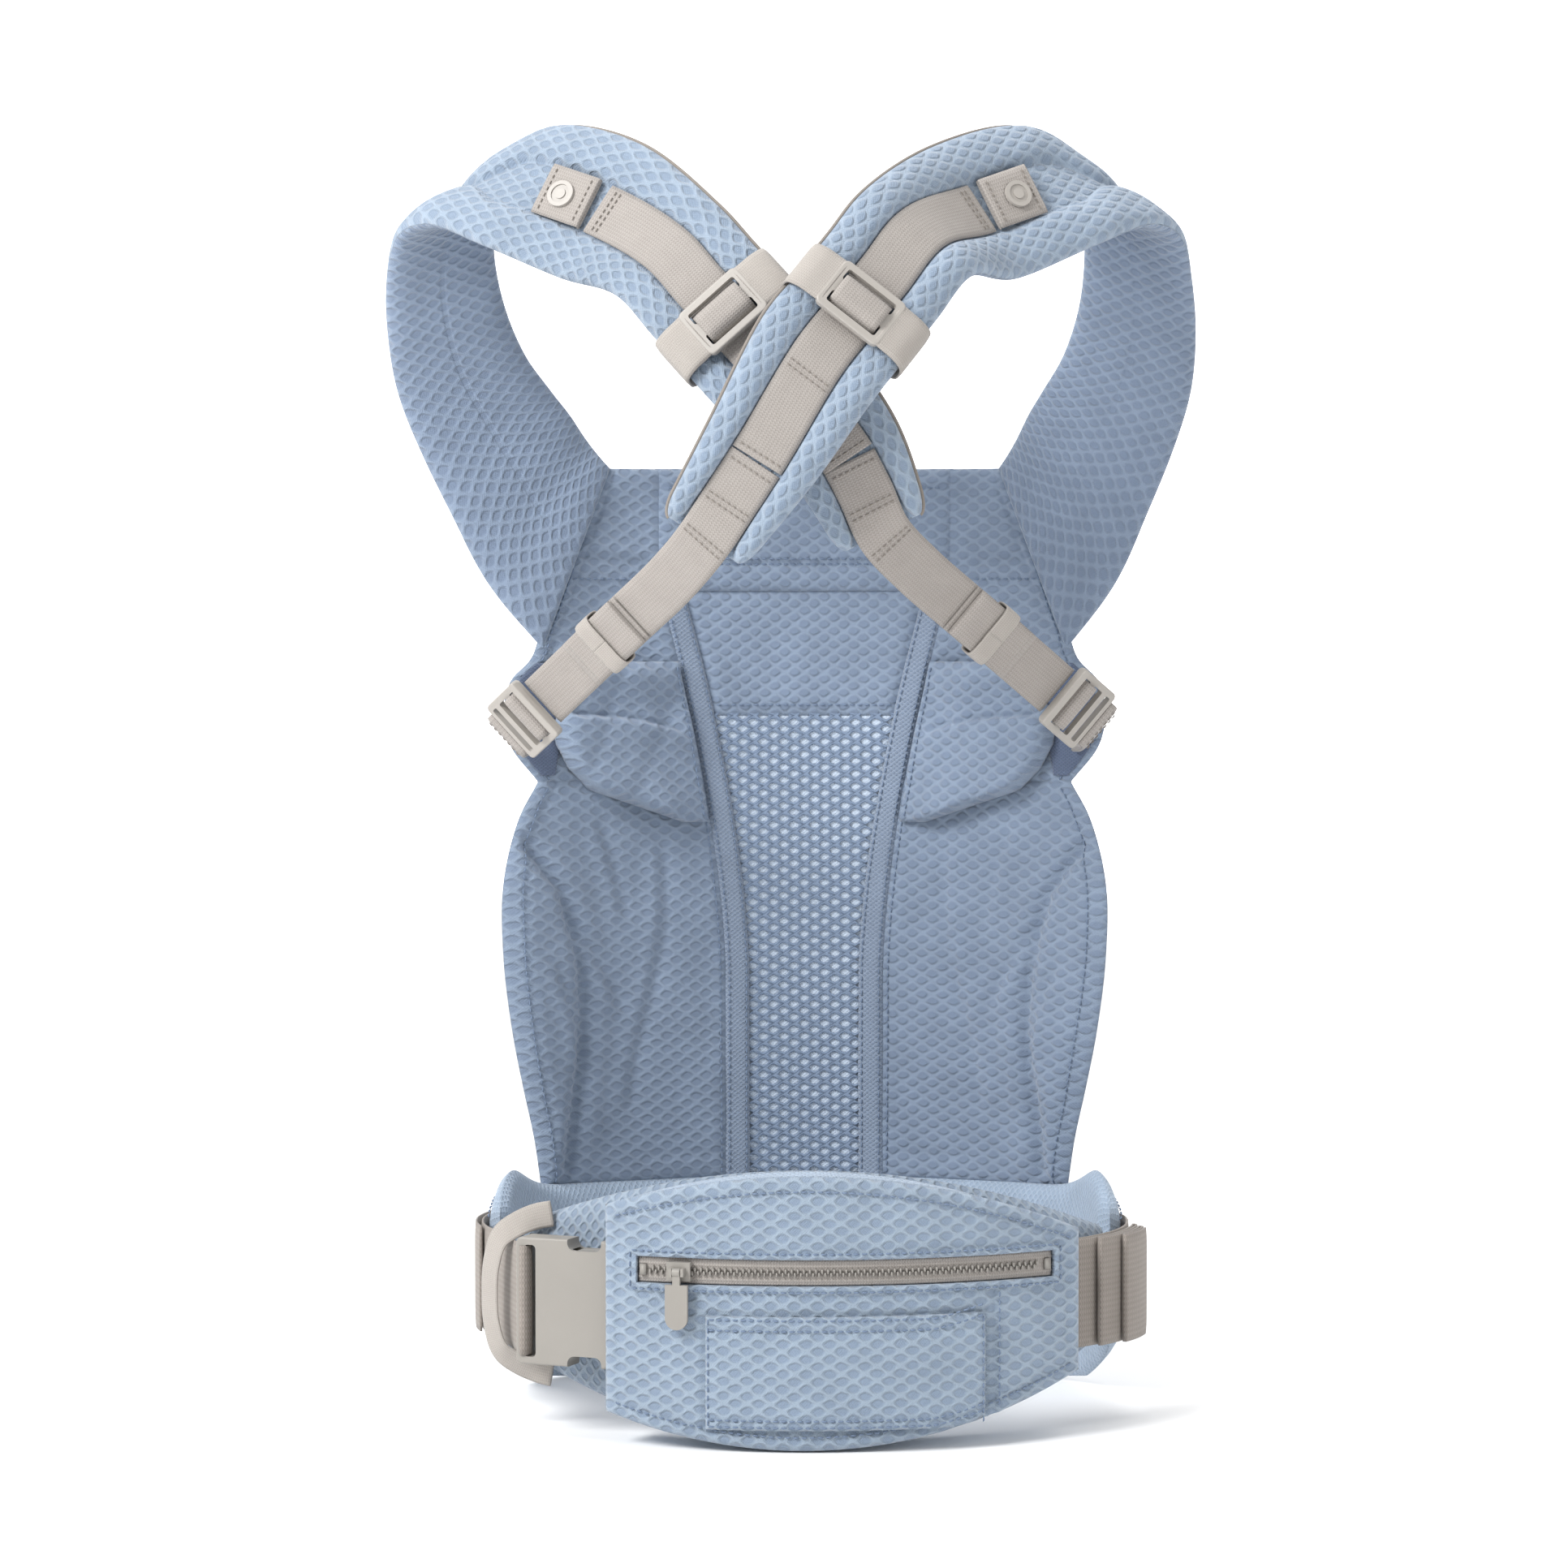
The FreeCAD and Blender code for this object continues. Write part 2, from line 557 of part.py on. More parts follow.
def rail_slider(side):
    """Slider on the rail webbing, the webbing's hump over its bar, and the elastic band from it round the pad."""
    p = slider_place(side)
    frame = p.plate((-17.5, 17.5), (SLIDER_LOW, SLIDER_LOW + 3.6), (-13, 13), 3.0, 0.9)
    for w in (-9.5, 3.5):
        frame = frame.cut(p.plate((-13.6, 13.6), (0, 20), (w, w + 6), 1.2, 0))
    low, high = SLIDER_LOW + 0.5, SLIDER_LOW + 3.6 + FIT
    arch = [(-6.4, low), (-4.2, high), (4.2, high), (6.4, low), (8.2, low), (5.4, high + 1.4), (-5.4, high + 1.4), (-8.2, low)]
    hump = Part.Face(Part.makePolygon([p.at(-12.8, v, w) for w, v in arch + arch[:1]])).extrude(p.across * 25.6)
    w, low, high = p.half_width + 1.0, STRAP_BELOW - 1.0, STRAP_ABOVE + 1.0
    inner = [(17.8, high), (w - 5, high), (w, high - 4), (w, low + 4), (w - 6, low)]
    outer = [(17.8, high + 1.6), (w - 4.2, high + 1.6), (w + 1.6, high - 3.2), (w + 1.6, low + 3.2), (w - 5.2, low - 1.6)]
    ring = inner + [(-u, v) for u, v in reversed(inner)] + [(-u, v) for u, v in outer] + list(reversed(outer))
    return {
        f"rail_slider_{side}": frame.removeSplitter(),
        f"slider_loop_{side}": hump,
        f"slider_band_{side}": p.tube(ring, (-11.5, 11.5)),
    }


LOCK_AT = {"left": V(-130, -12, 331), "right": V(126, -12, 336)}  # where each ladder lock sits


def adjuster_run(side):
    """The straight webbing from a strap's end to the ladder lock on the other side: its start and its end."""
    last = strap_places(side)[-1]
    lock = LOCK_AT["right" if side == "left" else "left"]
    start = blend(last.middle, lock, 0.13) + V(0, -3, -3)
    course = (lock - start).normalize()
    across = V(-course.z, 0, course.x).normalize()
    out = course.cross(across)
    turn = 1 if out.dot(last.out) > 0 else -1
    return Place(start, across * turn, out * turn), Place(lock, across * turn, out * turn), (lock - start).Length


TAIL_FROM, TAIL_LONG = 0.30, 44.0  # where the folded tail starts along the run, and its length


def adjuster(side):
    """Webbing from the strap's end to its ladder lock, the folded tail on it and the keeper round both."""
    places = strap_places(side)
    start, end, length = adjuster_run(side)
    half = STRAP_WEB / 2
    raised = [Place(p.at(0, WEB_LOW + WEB_THICK / 2), p.across, p.out) for p in places[-2:]]
    first = between(raised[0], raised[1], 0.12)
    turn = 1 if raised[1].across.dot(start.across) > 0 else -1
    path = [first, raised[1], start, end]
    path = path[:2] + [Place(p.middle, p.across * turn, p.out * turn) for p in path[2:]]
    webbing = ribbon(path, -WEB_THICK / 2, WEB_THICK / 2, half)
    begin = TAIL_FROM * length
    layers = []
    for k in range(3):
        low = WEB_THICK / 2 + FIT + k * (WEB_THICK + 0.1)
        layers.append(start.box((-half, half), (low, low + WEB_THICK), (begin + 2 * k, begin + TAIL_LONG - 3 * k)))
    inner_low, inner_high = -WEB_THICK / 2 - 0.5, WEB_THICK / 2 + FIT + 3 * WEB_THICK + 0.7
    middle = begin + TAIL_LONG / 2
    ring = start.box((-half - 2, half + 2), (inner_low - 1.2, inner_high + 1.2), (middle - 5, middle + 5))
    ring = ring.cut(start.box((-half - 0.7, half + 0.7), (inner_low, inner_high), (middle - 9, middle + 9)))
    return {
        f"adjuster_webbing_{side}": webbing,
        f"webbing_tail_{side}": Part.makeCompound(layers),
        f"webbing_keeper_{side}": ring,
    }


LOCK_LOW = WEB_THICK / 2 + 0.5
LOCK_BAR = 11.0  # distance of the tab's bar beyond the lock's middle


def lock_place(side):
    """Place of the ladder lock at one side, with along pointing from the webbing to the panel."""
    return adjuster_run("right" if side == "left" else "left")[1]


def ladder_lock(side):
    """Ladder lock with its raised lifting bar, and the sewn webbing tab that holds it to the panel's side."""
    p = lock_place(side)
    low, high = LOCK_LOW, LOCK_LOW + 3.6
    frame = p.plate((-16.5, 16.5), (low, high), (-12, LOCK_BAR + 3), 2.5, 0.8)
    for w0, w1 in ((-9, -3.5), (-0.5, 5.5), (8.5, LOCK_BAR + 0.5)):
        frame = frame.cut(p.plate((-13.2, 13.2), (-5, 12), (w0, w1), 1.0, 0))
    lift = p.plate((-16.5, 16.5), (high - 1.5, high + 2.4), (-12.5, -8.6), 1.5, 0.8)
    root = Place(V(math.copysign(138, p.middle.x), 40, 322), p.across, p.out)
    start = Place(p.at(0, LOCK_LOW + 1.8, LOCK_BAR + 4.1), p.across, p.out)
    tab = ribbon([start, root], -1.3, 1.3, STRAP_WEB / 2)
    return {f"ladder_lock_{side}": frame.fuse(lift).removeSplitter(), f"lock_tab_{side}": tab}


# ---- the whole carrier ----
def build():
    """Every piece by node name, in the design's own place."""
    parts = {}
    parts.update(waist_belt())
    parts.update(lumbar_pad())
    parts.update(pouch())
    parts["zip_slider"] = zip_slider()
    parts["zip_pull"] = zip_pull()
    parts["buckle_socket"] = buckle_socket()
    parts["buckle_plug"] = buckle_plug()
    parts["prong_upper"] = buckle_prong(1)
    parts["prong_lower"] = buckle_prong(-1)
    parts.update(waist_webbing())
    parts["plug_loop"] = plug_loop()
    parts["elastic_loop"] = elastic_loop()
    parts.update(body_panel())
    for side in ("left", "right"):
        parts.update(shoulder_strap(side))
        parts.update(snap_pieces(side))
        parts.update(rail_webbing(side))
        parts.update(rail_slider(side))
        parts.update(adjuster(side))
        parts.update(ladder_lock(side))
    return parts


def floor_centre(parts):
    """Middle of the bounding box's bottom."""
    box = FreeCAD.BoundBox()
    for shape in parts.values():
        box.add(shape.optimalBoundingBox(False, False))
    return V((box.XMin + box.XMax) / 2, (box.YMin + box.YMax) / 2, box.ZMin)


def main():
    os.makedirs("parts", exist_ok=True)
    parts = build()
    origin = floor_centre(parts)
    print("design origin", [round(c, 3) for c in origin])
    for name, shape in parts.items():
        shape.translate(origin * -1)
        if not shape.isValid() or not shape.Solids:
            print("check", name, shape.isValid(), len(shape.Solids))
        shape.exportStep(f"parts/{name}.step")


if __name__ == "__main__":
    main()
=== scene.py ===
"""Soft baby carrier: the looks of every piece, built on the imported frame.

Shapes are laid out in the carrier's own millimetres: x = 0 on the body panel's middle line, -Y towards the
wearer's back, z = 5 on the floor. ``Datum`` moves them into the frame. The waist is an oval of four arcs, and
a place on it is an outward angle from -Y, an offset from the pads' inner face and a height.
"""

from __future__ import annotations

import logging
import math
from dataclasses import dataclass, field
from enum import Enum
from typing import Iterable, Sequence

import bmesh
import bpy
import mathutils
import numpy as np
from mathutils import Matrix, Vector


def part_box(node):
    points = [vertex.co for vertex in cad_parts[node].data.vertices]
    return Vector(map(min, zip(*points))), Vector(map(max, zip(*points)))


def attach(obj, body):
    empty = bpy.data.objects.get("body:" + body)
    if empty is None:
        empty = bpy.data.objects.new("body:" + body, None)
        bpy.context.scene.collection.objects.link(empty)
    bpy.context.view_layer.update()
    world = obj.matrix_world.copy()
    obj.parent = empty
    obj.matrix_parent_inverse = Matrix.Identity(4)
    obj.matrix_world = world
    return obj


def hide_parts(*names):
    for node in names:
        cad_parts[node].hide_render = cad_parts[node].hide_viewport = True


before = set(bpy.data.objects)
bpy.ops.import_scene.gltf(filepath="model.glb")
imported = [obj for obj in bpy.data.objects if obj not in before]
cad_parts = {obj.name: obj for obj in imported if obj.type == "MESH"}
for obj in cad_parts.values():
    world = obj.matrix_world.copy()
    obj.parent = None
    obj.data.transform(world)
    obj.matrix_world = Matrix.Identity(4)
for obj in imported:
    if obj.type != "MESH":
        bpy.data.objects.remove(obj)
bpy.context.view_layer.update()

log = logging.getLogger("carrier")
Array = np.ndarray
UV_SCALE = 0.01  # texture units to the millimetre


class Side(Enum):
    """Left or right as seen from the wearer's back, with the sign of x."""

    LEFT = -1
    RIGHT = 1

    @property
    def label(self) -> str:
        """The name's ending."""
        return self.name.lower()

    @property
    def other(self) -> "Side":
        """The opposite side."""
        return Side(-self.value)


# ---------------------------------------------------------------- numbers and curves


def unit(v: Array) -> Array:
    """Vectors scaled to length one along the last axis."""
    return v / np.maximum(np.linalg.norm(v, axis=-1, keepdims=True), 1e-9)


def smooth(edge0: float, edge1: float, x: Array) -> Array:
    """Smooth step from 0 at edge0 to 1 at edge1."""
    t = np.clip((x - edge0) / (edge1 - edge0), 0, 1)
    return t * t * (3 - 2 * t)


def bell(x: Array, width: float) -> Array:
    """Gaussian bump of the given half width."""
    return np.exp(-((x / width) ** 2))


def curve_through(points: Sequence[Sequence[float]], count: int, spread: Array | None = None) -> Array:
    """Smooth curve through points.

    Args:
        points: The points, in order.
        count: How many samples to return, evenly spaced along the curve.
        spread: Shares of the length to sample at in place of even ones.

    Returns:
        Array of samples, one row each.
    """
    p = np.asarray(points, float)
    if len(p) == 2:
        t = np.linspace(0, 1, count) if spread is None else spread
        return p[0] + (p[1] - p[0]) * np.asarray(t)[:, None]
    q = np.vstack([2 * p[0] - p[1], p, 2 * p[-1] - p[-2]])
    knots = np.concatenate([[0], np.cumsum(np.linalg.norm(np.diff(q, axis=0), axis=1) ** 0.5)])
    fine = []
    for k in range(1, len(q) - 2):
        t0, t1, t2, t3 = knots[k - 1 : k + 3]
        t = np.linspace(t1, t2, 40, endpoint=k == len(q) - 3)[:, None]
        a1 = (t1 - t) / (t1 - t0) * q[k - 1] + (t - t0) / (t1 - t0) * q[k]
        a2 = (t2 - t) / (t2 - t1) * q[k] + (t - t1) / (t2 - t1) * q[k + 1]
        a3 = (t3 - t) / (t3 - t2) * q[k + 1] + (t - t2) / (t3 - t2) * q[k + 2]
        b1 = (t2 - t) / (t2 - t0) * a1 + (t - t0) / (t2 - t0) * a2
        b2 = (t3 - t) / (t3 - t1) * a2 + (t - t1) / (t3 - t1) * a3
        fine.append((t2 - t) / (t2 - t1) * b1 + (t - t1) / (t2 - t1) * b2)
    return resampled(np.vstack(fine), count, spread)


def resampled(line: Array, count: int, spread: Array | None = None) -> Array:
    """Samples at even spacing, or at the given shares, along a fine polyline."""
    length = np.concatenate([[0], np.cumsum(np.linalg.norm(np.diff(line[:, :3], axis=0), axis=1))])
    at = (np.linspace(0, 1, count) if spread is None else np.asarray(spread)) * length[-1]
    return sample(line, length, at)


def lengths(line: Array) -> Array:
    """Distance along a polyline at each of its points."""
    return np.concatenate([[0], np.cumsum(np.linalg.norm(np.diff(line, axis=0), axis=1))])


def sample(grid: Array, length: Array, at: Array | float) -> Array:
    """Rows of a grid, one for each distance along it, blended between the rows on either side."""
    return np.stack([np.interp(at, length, grid[:, k]) for k in range(grid.shape[1])], axis=-1)


def pillow(edge: Array, width: float) -> Array:
    """Quarter-round rise from 0 at an edge to 1 at a width inside it."""
    return np.sqrt(1 - (1 - np.clip(edge / width, 0, 1)) ** 2)


def rim(rows: int, columns: int) -> Array:
    """Pins, from 0 to 1, for the sewn edge of a shell's two grids."""
    edge = np.zeros((rows, columns), bool)
    edge[[0, 1, -2, -1]] = edge[:, [0, -1]] = True
    return np.concatenate([edge.ravel(), edge.ravel()]) * 1.0


class Noise:
    """Smooth repeatable value noise on the plane, for folds and unevenness."""

    def __init__(self, seed: int, size: int = 64) -> None:
        """Fills the lattice from a fixed seed."""
        self.lattice = np.random.default_rng(seed).uniform(-1, 1, (size, size))
        self.size = size

    def corner(self, x: Array, y: Array) -> Array:
        """The lattice's value at whole numbers, repeating past its edge."""
        return self.lattice[x % self.size, y % self.size]

    def __call__(self, x: Array, y: Array) -> Array:
        """Noise from -1 to 1 at (x, y), one lattice cell to the unit."""
        xi, yi = np.floor(x).astype(int), np.floor(y).astype(int)
        fx, fy = x - xi, y - yi
        fx, fy = fx * fx * (3 - 2 * fx), fy * fy * (3 - 2 * fy)
        low = self.corner(xi, yi) * (1 - fx) + self.corner(xi + 1, yi) * fx
        high = self.corner(xi, yi + 1) * (1 - fx) + self.corner(xi + 1, yi + 1) * fx
        return low * (1 - fy) + high * fy


# ---------------------------------------------------------------- frame and meshes


@dataclass(frozen=True)
class Datum:
    """Where the carrier's own millimetres lie in the frame's metres."""

    x: float
    y: float
    z: float

    @staticmethod
    def from_frame() -> "Datum":
        """Finds the shift from the waist belt: centred on x = 0, ending at y = 114, resting at z = 5."""
        low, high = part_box("waist_belt")
        return Datum((low[0] + high[0]) / 2, high[1] - 0.114, low[2] - 0.005)

    def place(self, points: Array) -> Array:
        """Millimetres to frame metres."""
        return np.asarray(points, float) * 0.001 + np.array([self.x, self.y, self.z])


@dataclass
class Workshop:
    """Makes objects, and dresses and mounts them in one go."""

    datum: Datum

    def mesh(
        self, name: str, verts: Array, faces: Sequence[Sequence[int]], uvs: Array | None = None
    ) -> bpy.types.Object:
        """Object from millimetre points, faces and one texture place for each face corner."""
        data = bpy.data.meshes.new(name)
        data.from_pydata(self.datum.place(verts).tolist(), [], [list(map(int, f)) for f in faces])
        data.validate(clean_customdata=False)
        if uvs is not None:
            layer = data.uv_layers.new(name="UVMap")
            layer.data.foreach_set("uv", np.asarray(uvs, np.float32).ravel())
        data.shade_smooth()
        obj = bpy.data.objects.new(name, data)
        bpy.context.scene.collection.objects.link(obj)
        return obj

    def shell(self, name: str, top: Array, bottom: Array, uv: Array | None = None) -> bpy.types.Object:
        """Closed piece between two grids of the same shape.

        Args:
            name: The piece's name.
            top: Outer grid, rows along the piece and columns across it.
            bottom: Inner grid, in the same order.
            uv: Texture millimetres of the grid; from the top grid's own lengths if left out.

        Returns:
            The object.
        """
        n, m = top.shape[:2]
        if uv is None:
            middle = top[:, m // 2]
            across = lengths(top[n // 2])
            uv = np.stack(np.broadcast_arrays(lengths(middle)[:, None], across[None, :]), axis=-1)
        uv = np.asarray(uv, float) * UV_SCALE
        index = np.arange(2 * n * m).reshape(2, n, m)
        quads, corners = [], []

        def add(a: Array, b: Array, c: Array, d: Array, ua: Array, ub: Array, uc: Array, ud: Array) -> None:
            """Adds one block of quads."""
            quads.append(np.stack([a.ravel(), b.ravel(), c.ravel(), d.ravel()], axis=1))
            flat = [u.reshape(-1, 2) for u in (ua, ub, uc, ud)]
            corners.append(np.stack(flat, axis=1))

        u00, u10, u11, u01 = uv[:-1, :-1], uv[1:, :-1], uv[1:, 1:], uv[:-1, 1:]
        t, b = index
        add(t[:-1, :-1], t[1:, :-1], t[1:, 1:], t[:-1, 1:], u00, u10, u11, u01)
        add(b[:-1, :-1], b[:-1, 1:], b[1:, 1:], b[1:, :-1], u00, u01, u11, u10)
        for j, flip in ((0, True), (m - 1, False)):
            args = [t[:-1, j], t[1:, j], b[1:, j], b[:-1, j]]
            us = [uv[:-1, j], uv[1:, j], uv[1:, j] + 0.02, uv[:-1, j] + 0.02]
            if flip:
                args, us = args[::-1], us[::-1]
            add(*args, *us)
        for i, flip in ((0, False), (n - 1, True)):
            args = [t[i, :-1], t[i, 1:], b[i, 1:], b[i, :-1]]
            us = [uv[i, :-1], uv[i, 1:], uv[i, 1:] + 0.02, uv[i, :-1] + 0.02]
            if flip:
                args, us = args[::-1], us[::-1]
            add(*args, *us)
        verts = np.vstack([top.reshape(-1, 3), bottom.reshape(-1, 3)])
        return self.mesh(name, verts, np.vstack(quads), np.concatenate(corners))

    def solids(self, name: str, parts: Iterable[tuple[Array, Array]]) -> bpy.types.Object:
        """One object from many small closed solids, each points and faces of its own."""
        verts, faces, start = [], [], 0
        for points, polygons in parts:
            verts.append(points)
            faces += [[start + k for k in polygon] for polygon in polygons]
            start += len(points)
        return self.mesh(name, np.vstack(verts), faces)

    def dress(
        self,
        obj: bpy.types.Object,
        material: bpy.types.Material,
        slot: str,
        body: str = "carrier",
        stands_for: Sequence[str] = (),
    ) -> bpy.types.Object:
        """Gives a piece its material and its body, and hides the CAD nodes that it stands for."""
        obj.data.materials.clear()
        obj.data.materials.append(material)
        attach(obj, body)
        if stands_for:
            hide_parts(*stands_for)
        return obj

    def sew(
        self,
        name: str,
        rows: Iterable[tuple[Array, Array]],
        thread: bpy.types.Material,
        slot: str = "air_mesh",
        body: str = "carrier",
    ) -> None:
        """Makes one piece of many stitches, and dresses it."""
        self.dress(self.solids(name, rows), thread, slot, body)


def puff(obj: bpy.types.Object, pinned: Array, pressure: float, cap: float, frames: int = 18) -> None:
    """Swells a closed mesh like a stuffed cover and keeps the result.

    Args:
        obj: A closed mesh of evenly sized quads.
        pinned: How firmly each vertex is held, from 0 to 1.
        pressure: Cloth pressure.
        cap: The furthest that a point may move, in millimetres.
        frames: How long to simulate.
    """
    group = obj.vertex_groups.new(name="sewn")
    for k in np.nonzero(pinned > 0)[0]:
        group.add([int(k)], float(pinned[k]), "REPLACE")
    cloth = obj.modifiers.new("puff", "CLOTH")
    cloth.settings.vertex_group_mass = "sewn"
    cloth.settings.use_pressure = True
    cloth.settings.uniform_pressure_force = pressure
    cloth.settings.effector_weights.gravity = 0
    cloth.settings.quality = 4
    cloth.settings.tension_stiffness = cloth.settings.compression_stiffness = 25
    cloth.settings.bending_stiffness = 0.8
    cloth.settings.shrink_min = -0.03
    cloth.collision_settings.use_collision = False
    cloth.point_cache.frame_start, cloth.point_cache.frame_end = 1, frames + 2
    rest = np.array([v.co for v in obj.data.vertices], float)
    for step in range(1, frames + 1):
        bpy.context.scene.frame_set(step)
    shaped = obj.evaluated_get(bpy.context.evaluated_depsgraph_get()).to_mesh()
    moved = np.array([v.co for v in shaped.vertices], float) - rest
    size = np.linalg.norm(moved, axis=1, keepdims=True)
    moved *= np.minimum(1, cap * 0.001 / np.maximum(size, 1e-9))
    obj.modifiers.remove(cloth)
    obj.vertex_groups.clear()
    obj.data.vertices.foreach_set("co", (rest + moved).astype(np.float32).ravel())
    obj.data.update()
    bpy.context.scene.frame_set(1)


def refine(obj: bpy.types.Object, levels: int = 1) -> None:
    """Subdivides a piece smoothly and keeps the result."""
    modifier = obj.modifiers.new("refine", "SUBSURF")
    modifier.levels = modifier.render_levels = levels
    modifier.uv_smooth = "NONE"
    shaped = bpy.data.meshes.new_from_object(obj.evaluated_get(bpy.context.evaluated_depsgraph_get()))
    obj.modifiers.remove(modifier)
    old, obj.data = obj.data, shaped
    bpy.data.meshes.remove(old)
    obj.data.shade_smooth()


def stitches(
    line: Array, normals: Array, long: float = 2.5, gap: float = 1.1, thick: float = 0.42, lift: float = 0.15
) -> list[tuple[Array, list[list[int]]]]:
    """Thread stitches along a line on a surface.

    Args:
        line: Points along the seam.
        normals: The surface's outward normals at those points.
        long: Length of a stitch.
        gap: Space between stitches.
        thick: Radius of the thread.
        lift: Height of the thread's middle above the line.

    Returns:
        Points and faces of each stitch.
    """
    length = lengths(line)
    total = length[-1]
    count = max(1, int(total / (long + gap)))
    found = []
    for k in range(count):
        a = (k + 0.5) * total / count - long / 2
        at = np.array([a, a + long * 0.2, a + long * 0.5, a + long * 0.8, a + long])
        p, n = sample(line, length, at), unit(sample(normals, length, at))
        along = unit(p[-1] - p[0])
        side = np.cross(along, n)
        rise = np.array([-0.3, 0.8, 1.0, 0.8, -0.3]) * thick + lift
        radius = np.array([0.45, 0.95, 1.0, 0.95, 0.45]) * thick
        ring = np.linspace(0, 2 * np.pi, 6, endpoint=False)
        rows = [
            p[i] + n[i] * rise[i] + radius[i] * (
                np.cos(ring)[:, None] * side[i] + np.sin(ring)[:, None] * n[i]
            )
            for i in range(5)
        ]
        faces = [
            [
                i * 6 + j, i * 6 + (j + 1) % 6, (i + 1) * 6 + (j + 1) % 6, (i + 1) * 6 + j
            ] for i in range(4) for j in range(6)
        ]
        faces += [list(range(5, -1, -1)), list(range(24, 30))]
        found.append((np.vstack(rows), faces))
    return found


# ---------------------------------------------------------------- finishes


def linear(code: str) -> tuple[float, float, float, float]:
    """sRGB hex to linear colour."""
    parts = [int(code[k : k + 2], 16) / 255 for k in (1, 3, 5)]
    return (*[c / 12.92 if c <= 0.04045 else ((c + 0.055) / 1.055) ** 2.4 for c in parts], 1.0)


def add_node(tree: bpy.types.NodeTree, kind: str, inputs: dict | None = None, **settings) -> bpy.types.Node:
    """Adds a shader node.

    Args:
        tree: The material's nodes.
        kind: Node type.
        inputs: Socket name or number to a value, a node (its first output) or a (node, output) pair.
        **settings: Node properties.

    Returns:
        The node.
    """
    node = tree.nodes.new(kind)
    for key, value in settings.items():
        setattr(node, key, value)
    for key, value in (inputs or {}).items():
        socket = node.inputs[key]
        if isinstance(value, bpy.types.Node):
            value = (value, 0)
        if isinstance(value, tuple) and isinstance(value[0], bpy.types.Node):
            tree.links.new(value[0].outputs[value[1]], socket)
        else:
            socket.default_value = value
    return node


def blank(name: str) -> tuple[bpy.types.Material, bpy.types.NodeTree, bpy.types.Node]:
    """New material with its tree and shader."""
    material = bpy.data.materials.new(name)
    material.use_nodes = True
    tree = material.node_tree
    return material, tree, tree.nodes["Principled BSDF"]


def math_node(tree: bpy.types.NodeTree, operation: str, *values) -> bpy.types.Node:
    """Adds a math node on the given values or nodes."""
    return add_node(tree, "ShaderNodeMath", dict(enumerate(values)), operation=operation)


@dataclass(frozen=True)
class AirMesh:
    """Three-layer knitted air mesh: a lattice of sunk diamonds in a soft, lightly fuzzy face."""

    name: str
    ridge: str
    pit: str
    pitch_along: float = 6.7
    pitch_across: float = 10.6
    depth: float = 0.9
    contrast: float = 0.75

    def build(self) -> bpy.types.Material:
        """Sunk diamonds from two crossed waves, finer knit loops between them, and a slow change of tone."""
        material, tree, shader = blank(self.name)
        uv = add_node(tree, "ShaderNodeUVMap", uv_map="UVMap")
        warp = add_node(tree, "ShaderNodeTexNoise", {"Vector": uv, "Scale": 18.0, "Detail": 1.0})
        shifted = add_node(
            tree, "ShaderNodeVectorMath", {0: (warp, "Color"), 1: (0.5, 0.5, 0.5)}, operation="SUBTRACT"
        )
        wobble = add_node(tree, "ShaderNodeVectorMath", {0: shifted, "Scale": 0.012}, operation="SCALE")
        place = add_node(tree, "ShaderNodeVectorMath", {0: uv, 1: wobble}, operation="ADD")
        split = add_node(tree, "ShaderNodeSeparateXYZ", {0: place})
        turn = 2 * math.pi / UV_SCALE
        wave_u = math_node(tree, "COSINE", math_node(tree, "MULTIPLY", (split, 0), turn / self.pitch_along))
        wave_v = math_node(tree, "COSINE", math_node(tree, "MULTIPLY", (split, 1), turn / self.pitch_across))
        crossed = math_node(tree, "ABSOLUTE", math_node(tree, "ADD", wave_u, wave_v))
        pit = add_node(
            tree,
            "ShaderNodeMapRange",
            {"Value": crossed, "From Min": 0.2, "From Max": 1.45},
            interpolation_type="SMOOTHSTEP",
        )
        loop_u = math_node(tree, "SINE", math_node(tree, "MULTIPLY", (split, 0), turn / 1.35))
        loop_v = math_node(tree, "SINE", math_node(tree, "MULTIPLY", (split, 1), turn / 1.15))
        loops = math_node(tree, "MULTIPLY", loop_u, loop_v)
        fuzz = add_node(tree, "ShaderNodeTexNoise", {"Vector": uv, "Scale": 260.0, "Detail": 3.0})
        fine = math_node(tree, "MULTIPLY_ADD", loops, 0.10, math_node(tree, "MULTIPLY", (fuzz, 0), 0.35))
        height = math_node(tree, "SUBTRACT", fine, pit)
        bump = add_node(
            tree, "ShaderNodeBump", {"Height": height, "Strength": 0.85, "Distance": self.depth * 0.001}
        )
        tone = add_node(tree, "ShaderNodeTexNoise", {"Vector": uv, "Scale": 6.0, "Detail": 4.0})
        mottled = add_node(
            tree, "ShaderNodeMapRange", {
                "Value": (tone, 0), "From Min": 0.3, "From Max": 0.7, "To Min": 0.93, "To Max": 1.05
            }
        )
        speck = math_node(tree, "MULTIPLY_ADD", (fuzz, 0), 0.22, 0.88)
        shade = math_node(tree, "MULTIPLY", mottled, speck)
        # Painted shade and light: the pit colour is mixed in where the diamonds sink. A pit colour darker
        # than the ridge darkens the hollows as painted shade; a lighter one paints light showing through
        # holes.
        amount = math_node(tree, "MULTIPLY", pit, self.contrast)
        mixed = add_node(
            tree,
            "ShaderNodeMix",
            {"Factor": amount, 6: linear(self.ridge), 7: linear(self.pit)},
            data_type="RGBA",
        )
        colour = add_node(tree, "ShaderNodeVectorMath", {0: (mixed, 2), "Scale": shade}, operation="SCALE")
        tree.links.new(colour.outputs[0], shader.inputs["Base Color"])
        tree.links.new(bump.outputs[0], shader.inputs["Normal"])
        shader.inputs["Roughness"].default_value = 0.92
        shader.inputs["Specular IOR Level"].default_value = 0.18
        shader.inputs["Sheen Weight"].default_value = 0.28
        shader.inputs["Sheen Roughness"].default_value = 0.6
        return material


